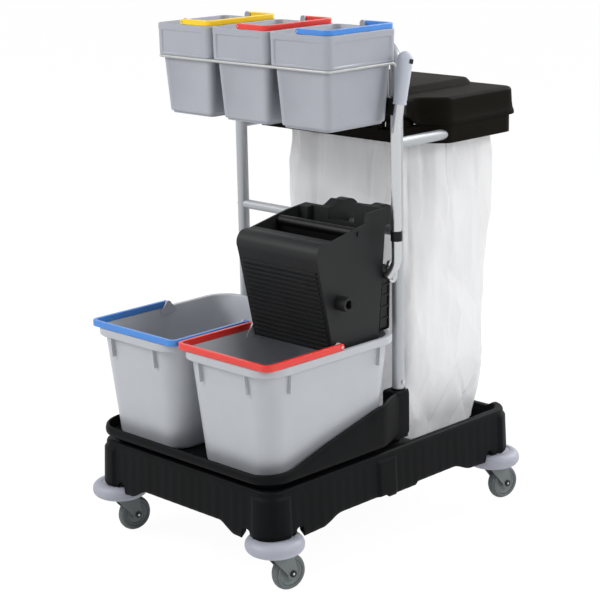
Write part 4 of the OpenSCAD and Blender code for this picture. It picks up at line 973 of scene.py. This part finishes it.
holder = {
    "front": 59, "neckEnd": 129, "flareEnd": 189, "neckHalf": 190, "half": 243, "corner": 34,
    "leastCorner": 10, "neckCorner": 15, "ringWall": 36, "ringRound": 3, "mouthRear": 382,
    "lidRear": 413, "lidZ": 868.6, "lidTop": 926.3, "lidWall": 5, "lidRound": (4, 9, 8.3),
    "armLift": 36, "armEnd": (104, 40), "cut": (8, 177, 6, 8), "frontZ": 884, "skirtFoot": 1.2,
    "lidInside": ((16, 0), (8, 1), (3, 6)), "skirtLip": ((-1.5, 1.2), (-3.2, 0), (-6, 0), (-7, 1.2)),
    "skirtTop": 9.5,
    "skirt": ((0.1, -1.9), (0.18, -0.8), (0.26, 1), (0.5, 2.6), (0.7, 3.2), (1, 4)),
    "cap": (0.9, 0.4), "panel": (133, 69, 393, 5), "panelCorner": 20, "panelZ": 938.6,
    "panelFoot": ((0, -2), (0, -0.4), (1.2, 0.8)), "panelTop": ((6.5, -3), (8, -1.2), (10.5, -0.2), (15, 0)),
    "ears": (145, 13, 66), "ear": (3.6, 7, 2), "earLow": ((0.8, 870), (0, 871)),
    "block": (174, 103, 8, 37, 4), "blockRows": ((0, 866), (0, 890), (1, 892.2), (3, 893)),
}


def holderOutline(rear, inset=0.0, perSide=64):
    # points and outward normals, evenly spaced, from the middle of the neck's front round by the rear
    r, half = max(holder["leastCorner"], holder["corner"] - inset), holder["half"] - inset
    neck, front, bend = holder["neckHalf"] - inset, holder["front"] + inset, holder["neckCorner"]
    y0, y1 = holder["neckEnd"], holder["flareEnd"]
    side = arc(bend, -90, 0, 6, (neck - bend, front + bend))
    side += [(neck + (half - neck) * smooth(i / 12), y0 + (y1 - y0) * i / 12) for i in range(13)]
    side += arc(r, 0, 90, 10, (half - r, rear - r))
    line = [Vector(p) for p in side] + [Vector((-p[0], p[1])) for p in reversed(side)]
    line = [Vector((0, front))] + line + [Vector((0, front))]
    lengths = [(b - a).length for a, b in zip(line, line[1:])]
    count, total = 4 * perSide, sum(lengths)
    points = []
    for k in range(count):
        s = total * k / count
        for a, b, length in zip(line, line[1:], lengths):
            if s <= length and length > 0:
                points.append(a + (b - a) * s / length)
                break
            s -= length
    outline = []
    for k, p in enumerate(points):
        t = (points[(k + 1) % count] - points[k - 1]).normalized()
        outline.append((p, Vector((t.y, -t.x))))
    return outline


def lidLowEdge(p):
    # the skirt's lower edge lifts over the arms of the ring near the front
    end, blend = holder["armEnd"]
    deep, half, before, fade = holder["cut"]
    lift = 1 - smooth((p.y - end) / blend)
    side = holder["lidZ"] + (holder["lidTop"] - holder["armLift"] - holder["lidZ"]) * lift
    if p.y < holder["front"] + deep:
        share = smooth((abs(p.x) - half + before) / fade)
        return holder["frontZ"] + (side - holder["frontZ"]) * share
    return side


def buildLid():
    outline = holderOutline(holder["lidRear"])
    top, wall, foot = pick(holder, "lidTop lidWall skirtFoot")
    rings = []

    def ring(inset, height):
        rings.append([(p.x - n.x * inset, p.y - n.y * inset, height(p)) for p, n in outline])

    for e, down in holder["lidInside"]:
        ring(wall + e, lambda p: top - wall - down)
    for e, up in holder["skirtLip"]:
        ring(wall + e, lambda p: lidLowEdge(p) + up)
    for share, inset in holder["skirt"]:
        ring(inset, lambda p: lidLowEdge(p) + foot + (top - holder["skirtTop"] - lidLowEdge(p)) * share)
    start, across, rise = holder["lidRound"]
    for c, s in arc(1, 0, 90, 6)[1:]:
        ring(start + across * (1 - c), lambda p: top - rise + rise * s)
    half, front, rear, past = holder["panel"]
    middle = (front + rear) / 2
    scale, up = holder["cap"]
    rings.append([(p.x * scale, middle + (p.y - middle) * scale, top + up) for p, n in outline])
    rows = raised(holder["panelFoot"], top) + raised(holder["panelTop"], holder["panelZ"])
    panel = roundStack((0, middle), half, (rear - front) / 2 + past, holder["panelCorner"], rows)
    parts = [loft(rings), panel]
    earX, apart, earY = holder["ears"]
    rows = (*holder["earLow"], (0, top - wall))
    parts += [roundStack((s * earX + t * apart, earY), *holder["ear"], rows, 3) for s, t in corners]
    makePiece("bag_holder_lid", parts, "lid", "lid", ["lid"], sharp=44)


def buildHingeBlocks():
    # blocks on the ring that fill the lid's side cut-outs
    x, y, halfW, halfL, corner = holder["block"]
    parts = [roundStack((s * x, y), halfW, halfL, corner, holder["blockRows"], 4) for s in sides]
    makePiece("lid_hinge_blocks", parts, "lid", "chassis", sharp=40)


buildLid()
buildHingeBlocks()
softCopy("bag_ring", "bag_holder_ring", "lid", "chassis", holder["ringRound"])
print("bag holder done")

# tubes, wire and lever

tubeFrame = {"post": tray["post"], "foot": 232, "top": 1049, "bend": 32, "radius": 12.7}
rack = {
    "z": 1015.7, "x": 245.5, "front": -182, "rear": 10, "legX": 225, "leg": 105, "bend": 11,
    "wire": 3, "pitch": pail["pitch"], "up": (0.31, 0.22, 0.09),
}
lever = {
    "x": 280, "y": -28, "foot": (259, 594), "low": 634, "high": 878, "bend": 40, "knee": 44,
    "lean": 11, "top": 148, "radius": 10, "tabAt": (252, -16, 588), "tabT": 8,
    "tab": arc(13, 180, 360, 16) + [(13, 30), (9, 34), (-9, 34), (-13, 30)],
    "gripStart": 54, "gripLength": 105, "gripRadius": 15.5, "gripBody": (13.5, 2, 9),
    "gripCollar": ((10.3, 0), (12.6, 0), (13.4, 0.8), (13.4, 5), (12.9, 6), (12.9, 8), (13.5, 9)),
    "gripEnd": ((0.3, 0), (0.3, -8), (10.3, -10)), "slot": (4.5, 5.5, 1.2), "slotRows": ((0, -1), (0, 0.5)),
    "slotAt": (15.3, 1.5, -19),
}


def buildTubes():
    (x, y), z, foot = pick(tubeFrame, "post top foot")
    path = roundPath([(-x, y, foot), (-x, y, z), (x, y, z), (x, y, foot)], tubeFrame["bend"], segs=12)
    hoop = sweep(path, circleSection(tubeFrame["radius"], 40), (0, 1, 0))
    makePiece("hoop_tube", [hoop], "tube", "chassis", ["frame_hoop"], sharp=50)
    thin = circleSection(rack["wire"], count=20)
    z, front, rear, sideX, legX = pick(rack, "z front rear x legX")
    foot = z - rack["leg"]
    outer = [(-sideX, rear, foot), (-sideX, rear, z), (-sideX, front, z)]
    inner = [(-legX, rear, foot), (-legX, rear, z)]
    parts = []
    for half in (outer, inner):
        points = half + [(-x, y, z) for x, y, z in reversed(half)]
        parts.append(sweep(roundPath(points, rack["bend"], 8), thin, rack["up"]))
    for s in sides:
        across = s * rack["pitch"] / 2
        parts.append(sweep([(across, front, z), (across, rear, z)], thin, (0, 0, 1)))
    makePiece("pail_wire_rack", parts, "wire", "chassis", ["wire_rack"], sharp=50)


def leverPath():
    x, y, bend, lean = pick(lever, "x y bend lean")
    points = [(lever["foot"][0], y, lever["foot"][1])]
    for c, s in arc(1, lever["knee"], 0, 8):
        points.append((x - bend * (1 - c), y, lever["low"] - bend * s))
    for c, s in arc(1, 0, lean, 5):
        points.append((x, y + bend * (1 - c), lever["high"] + bend * s))
    return points, Vector(points[-1]), Vector((0, math.sin(math.radians(lean)), math.cos(math.radians(lean))))


def buildLever():
    points, bendEnd, lean = leverPath()
    points.append(tuple(bendEnd + lean * lever["top"]))
    radius = lever["radius"]
    parts = [sweep(points, circleSection(radius, 36), (1, 0, 0)),
             lathe(arc(radius, -90, 90, 18), shift(points[0]), 36),
             plate(lever["tab"], shift(lever["tabAt"]) @ acrossX, lever["tabT"])]
    makePiece("press_lever", parts, "lever", "lever", ["lever_tube"], sharp=40)
    place = shift(bendEnd) @ turn(-lever["lean"], "X")
    start, r, length, (thick, swell, body) = pick(lever, "gripStart gripRadius gripLength gripBody")
    end = start + length
    heights = spaced(start + body, end - r, 6)
    profile = raised(lever["gripCollar"], start)
    profile += [(thick + swell * smooth(i / 6), heights[i]) for i in range(1, 7)]
    profile += arc(r, 10, 80, 7, (0, end - r)) + raised(lever["gripEnd"], end)
    makePiece("lever_handgrip", [lathe(profile, place, 48)], "grip", "lever",
              ["lever_grip"], sharp=45)
    # a thin black plate on the grip's side is painted shade, standing in for the dark opening of the slot
    x, y, down = lever["slotAt"]
    slot = roundStack((0, 0), *lever["slot"], lever["slotRows"], segs=3)
    slot = placed(slot, place @ shift((x, y, end + down)) @ turn(90, "Y"))
    makePiece("grip_slot", [slot], "black", "lever")


buildTubes()
buildLever()
print("tubes, rack and lever done")

# the bag: a thin open-topped film that hangs from the ring, drawn in at the mouth, folded and creased
# sections are (height, half width, front, rear, corner); facets are (columns, height, depth)
# folds are (reach, slant, width): reach and width are a least value and what is added to it

bag = {
    "columns": 320, "rows": 170, "bottomRows": 13, "flat": (1.36, 0.73), "seed": 4.7,
    "top": 866, "mouthZ": 834, "hang": (330, 790, 110, 230), "bendZ": 196, "mostOut": 4, "ringGap": 1.2,
    "facets": ((10, 170, 9), (23, 90, 4.5)), "facetBend": 0.006, "facetDrift": 0.45,
    "folds": 64, "foldDepth": 15, "foldShare": (0.4, 0.6), "foldTip": 0.25, "spread": (0.618, 0.371, 0.733),
    "topFolds": ((60, 190), 0.1, (0.009, 0.012)), "lowFolds": ((70, 190), 1.1, (0.006, 0.007)),
    "foldStart": (12, 10), "free": (14, 24, 0.3, 172, 50),
    "sections": [
        (866, 209, 97, 386, 12), (800, 209, 97, 387, 12), (722, 210, 97, 387, 14), (666, 208, 98, 383, 16),
        (609, 206, 98, 379, 20), (552, 205, 98, 376, 24), (494, 204, 98, 373, 26), (436, 203, 98, 369, 28),
        (377, 202, 98, 365, 30), (317, 201, 98, 359, 32), (256, 199, 98, 351, 30), (220, 197, 99, 346, 30),
        (190, 194, 102, 340, 32), (176, 182, 113, 328, 36), (170.5, 164, 132, 308, 36),
        (169.6, 140, 156, 284, 30),
    ],
}


def rectPoint(share, halfW, front, rear, radius):
    # a point and outward normal on a round-cornered rectangle, from the middle of its front
    halfL, middle = (rear - front) / 2, Vector((0, (front + rear) / 2))
    straightW, straightL, bend = 2 * (halfW - radius), 2 * (halfL - radius), math.pi * radius / 2
    s = share * 2 * (straightW + straightL + 2 * bend) + straightW / 2
    for k in range(-1, 4):
        straight, reach = (straightL, halfW) if k % 2 == 0 else (straightW, halfL)
        a0 = math.radians(90 * k)
        n, t = Vector((math.cos(a0), math.sin(a0))), Vector((-math.sin(a0), math.cos(a0)))
        if s <= straight:
            return middle + n * reach + t * (s - straight / 2), n
        s -= straight
        if s <= bend:
            out = Vector((math.cos(a0 + s / radius), math.sin(a0 + s / radius)))
            return middle + n * (reach - radius) + t * (straight / 2) + radius * out, out
        s -= bend
    return Vector((0, front)), Vector((0, -1))


def facetAt(share, p, columns, tall, seed):
    # flat three-sided facets with crisp creases: heights on a leaning lattice, joined by straight slopes
    bend, drift = p * bag["facetBend"], bag["facetDrift"]
    v = p.z / tall + drift * noise.noise(bend + Vector((seed, 0, 0)))
    u = share * columns + 0.5 * v + drift * noise.noise(bend + Vector((0, seed, 0)))
    i, j = math.floor(u), math.floor(v)
    fu, fv = u - i, v - j
    at = lambda a, b: noise.cell(Vector((a % columns + 0.5, b + 0.5, seed + 0.5)))
    if fu + fv < 1:
        height = at(i, j) * (1 - fu - fv) + at(i + 1, j) * fu + at(i, j + 1) * fv
    else:
        height = at(i + 1, j + 1) * (fu + fv - 1) + at(i, j + 1) * (1 - fu) + at(i + 1, j) * (1 - fv)
    return height - 0.5


def foldLines():
    # V-shaped folds gathered under the ring and slanting folds that rise from the bottom, spread evenly
    lines = []
    least, more = bag["foldShare"]
    for i in range(bag["folds"]):
        a, b, c = (i * share % 1 for share in bag["spread"])
        fromTop = i % 2 == 0
        reach, slant, width = bag["topFolds" if fromTop else "lowFolds"]
        lines.append((a, (c - 0.5) * slant, width[0] + width[1] * c, reach[0] + reach[1] * b, fromTop,
                      bag["foldDepth"] * (least + more * b)))
    return lines


def foldAt(share, z, lines):
    total = 0.0
    above, below = bag["foldStart"]
    for a, slant, width, reach, fromTop, depth in lines:
        along = bag["mouthZ"] + above - z if fromTop else z - bag["bendZ"] + below
        if along < 0 or along > reach:
            continue
        fade = 1 - along / reach
        wide = width * (bag["foldTip"] + (1 - bag["foldTip"]) * fade)
        off = abs((share - a - slant * along / 1000 + 0.5) % 1 - 0.5)
        if off < wide:
            total += depth * fade * (1 - off / wide)
    return total


def buildBag():
    bend, mouthZ, columns, gap, lowRows = pick(bag, "bendZ mouthZ columns ringGap bottomRows")
    heights = spaced(bag["top"], bend, bag["rows"] - lowRows - 1)
    heights += spaced(bend, bag["sections"][-1][0], lowRows)[1:]
    mouth = holderOutline(holder["mouthRear"] - gap, holder["ringWall"] + gap, columns // 4)
    hangFront, hangRear, hangFrom, hangBlend = bag["hang"]
    above, fade, least, low, lowFade = bag["free"]
    lines = foldLines()
    rings = []
    for z in heights:
        section = between(bag["sections"], z)
        free = smooth((mouthZ + above - z) / fade) * (least + (1 - least) * smooth((z - low) / lowFade))
        points = []
        for k in range(columns):
            share = k / columns
            at, n = rectPoint(share, *section)
            collar = mouth[k][0]
            end = hangFront + (hangRear - hangFront) * smooth((collar.y - hangFrom) / hangBlend)
            held = collar + (at - collar) * smooth((mouthZ - z) / (mouthZ - end))
            p = Vector((held.x, held.y, z))
            push = 1.0 - foldAt(share, z, lines)
            for count, tall, depth in bag["facets"]:
                push += depth * facetAt(share, p, count, tall, bag["seed"] + count)
            push = min(push * free, bag["mostOut"])
            points.append((held.x + n.x * push, held.y + n.y * push, z))
        rings.append(points)
    piece = makePiece("waste_bag_film", [loft(rings, False, True)], "film", "chassis",
                      ["waste_bag"], sharp=180)
    print("bag film area", round(sum(f.area for f in piece.data.polygons), 4))


buildBag()
print("bag done")

# finishes for the CAD nodes that show as they are

carried = {
    "zinc": ["caster_stems", "frame_screws", "lever_shaft", "lever_bolt", "lid_pins"],
    "dull": ["jaw_shaft", *("axle_" + name for name in cornerNames)],
    "tube": ["crossbar", "bag_tubes"],
    "black": ["lever_band"],
}
for finish, names in carried.items():
    for name in names:
        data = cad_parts[name].data
        data.materials.clear()
        data.materials.append(finishes[finish])
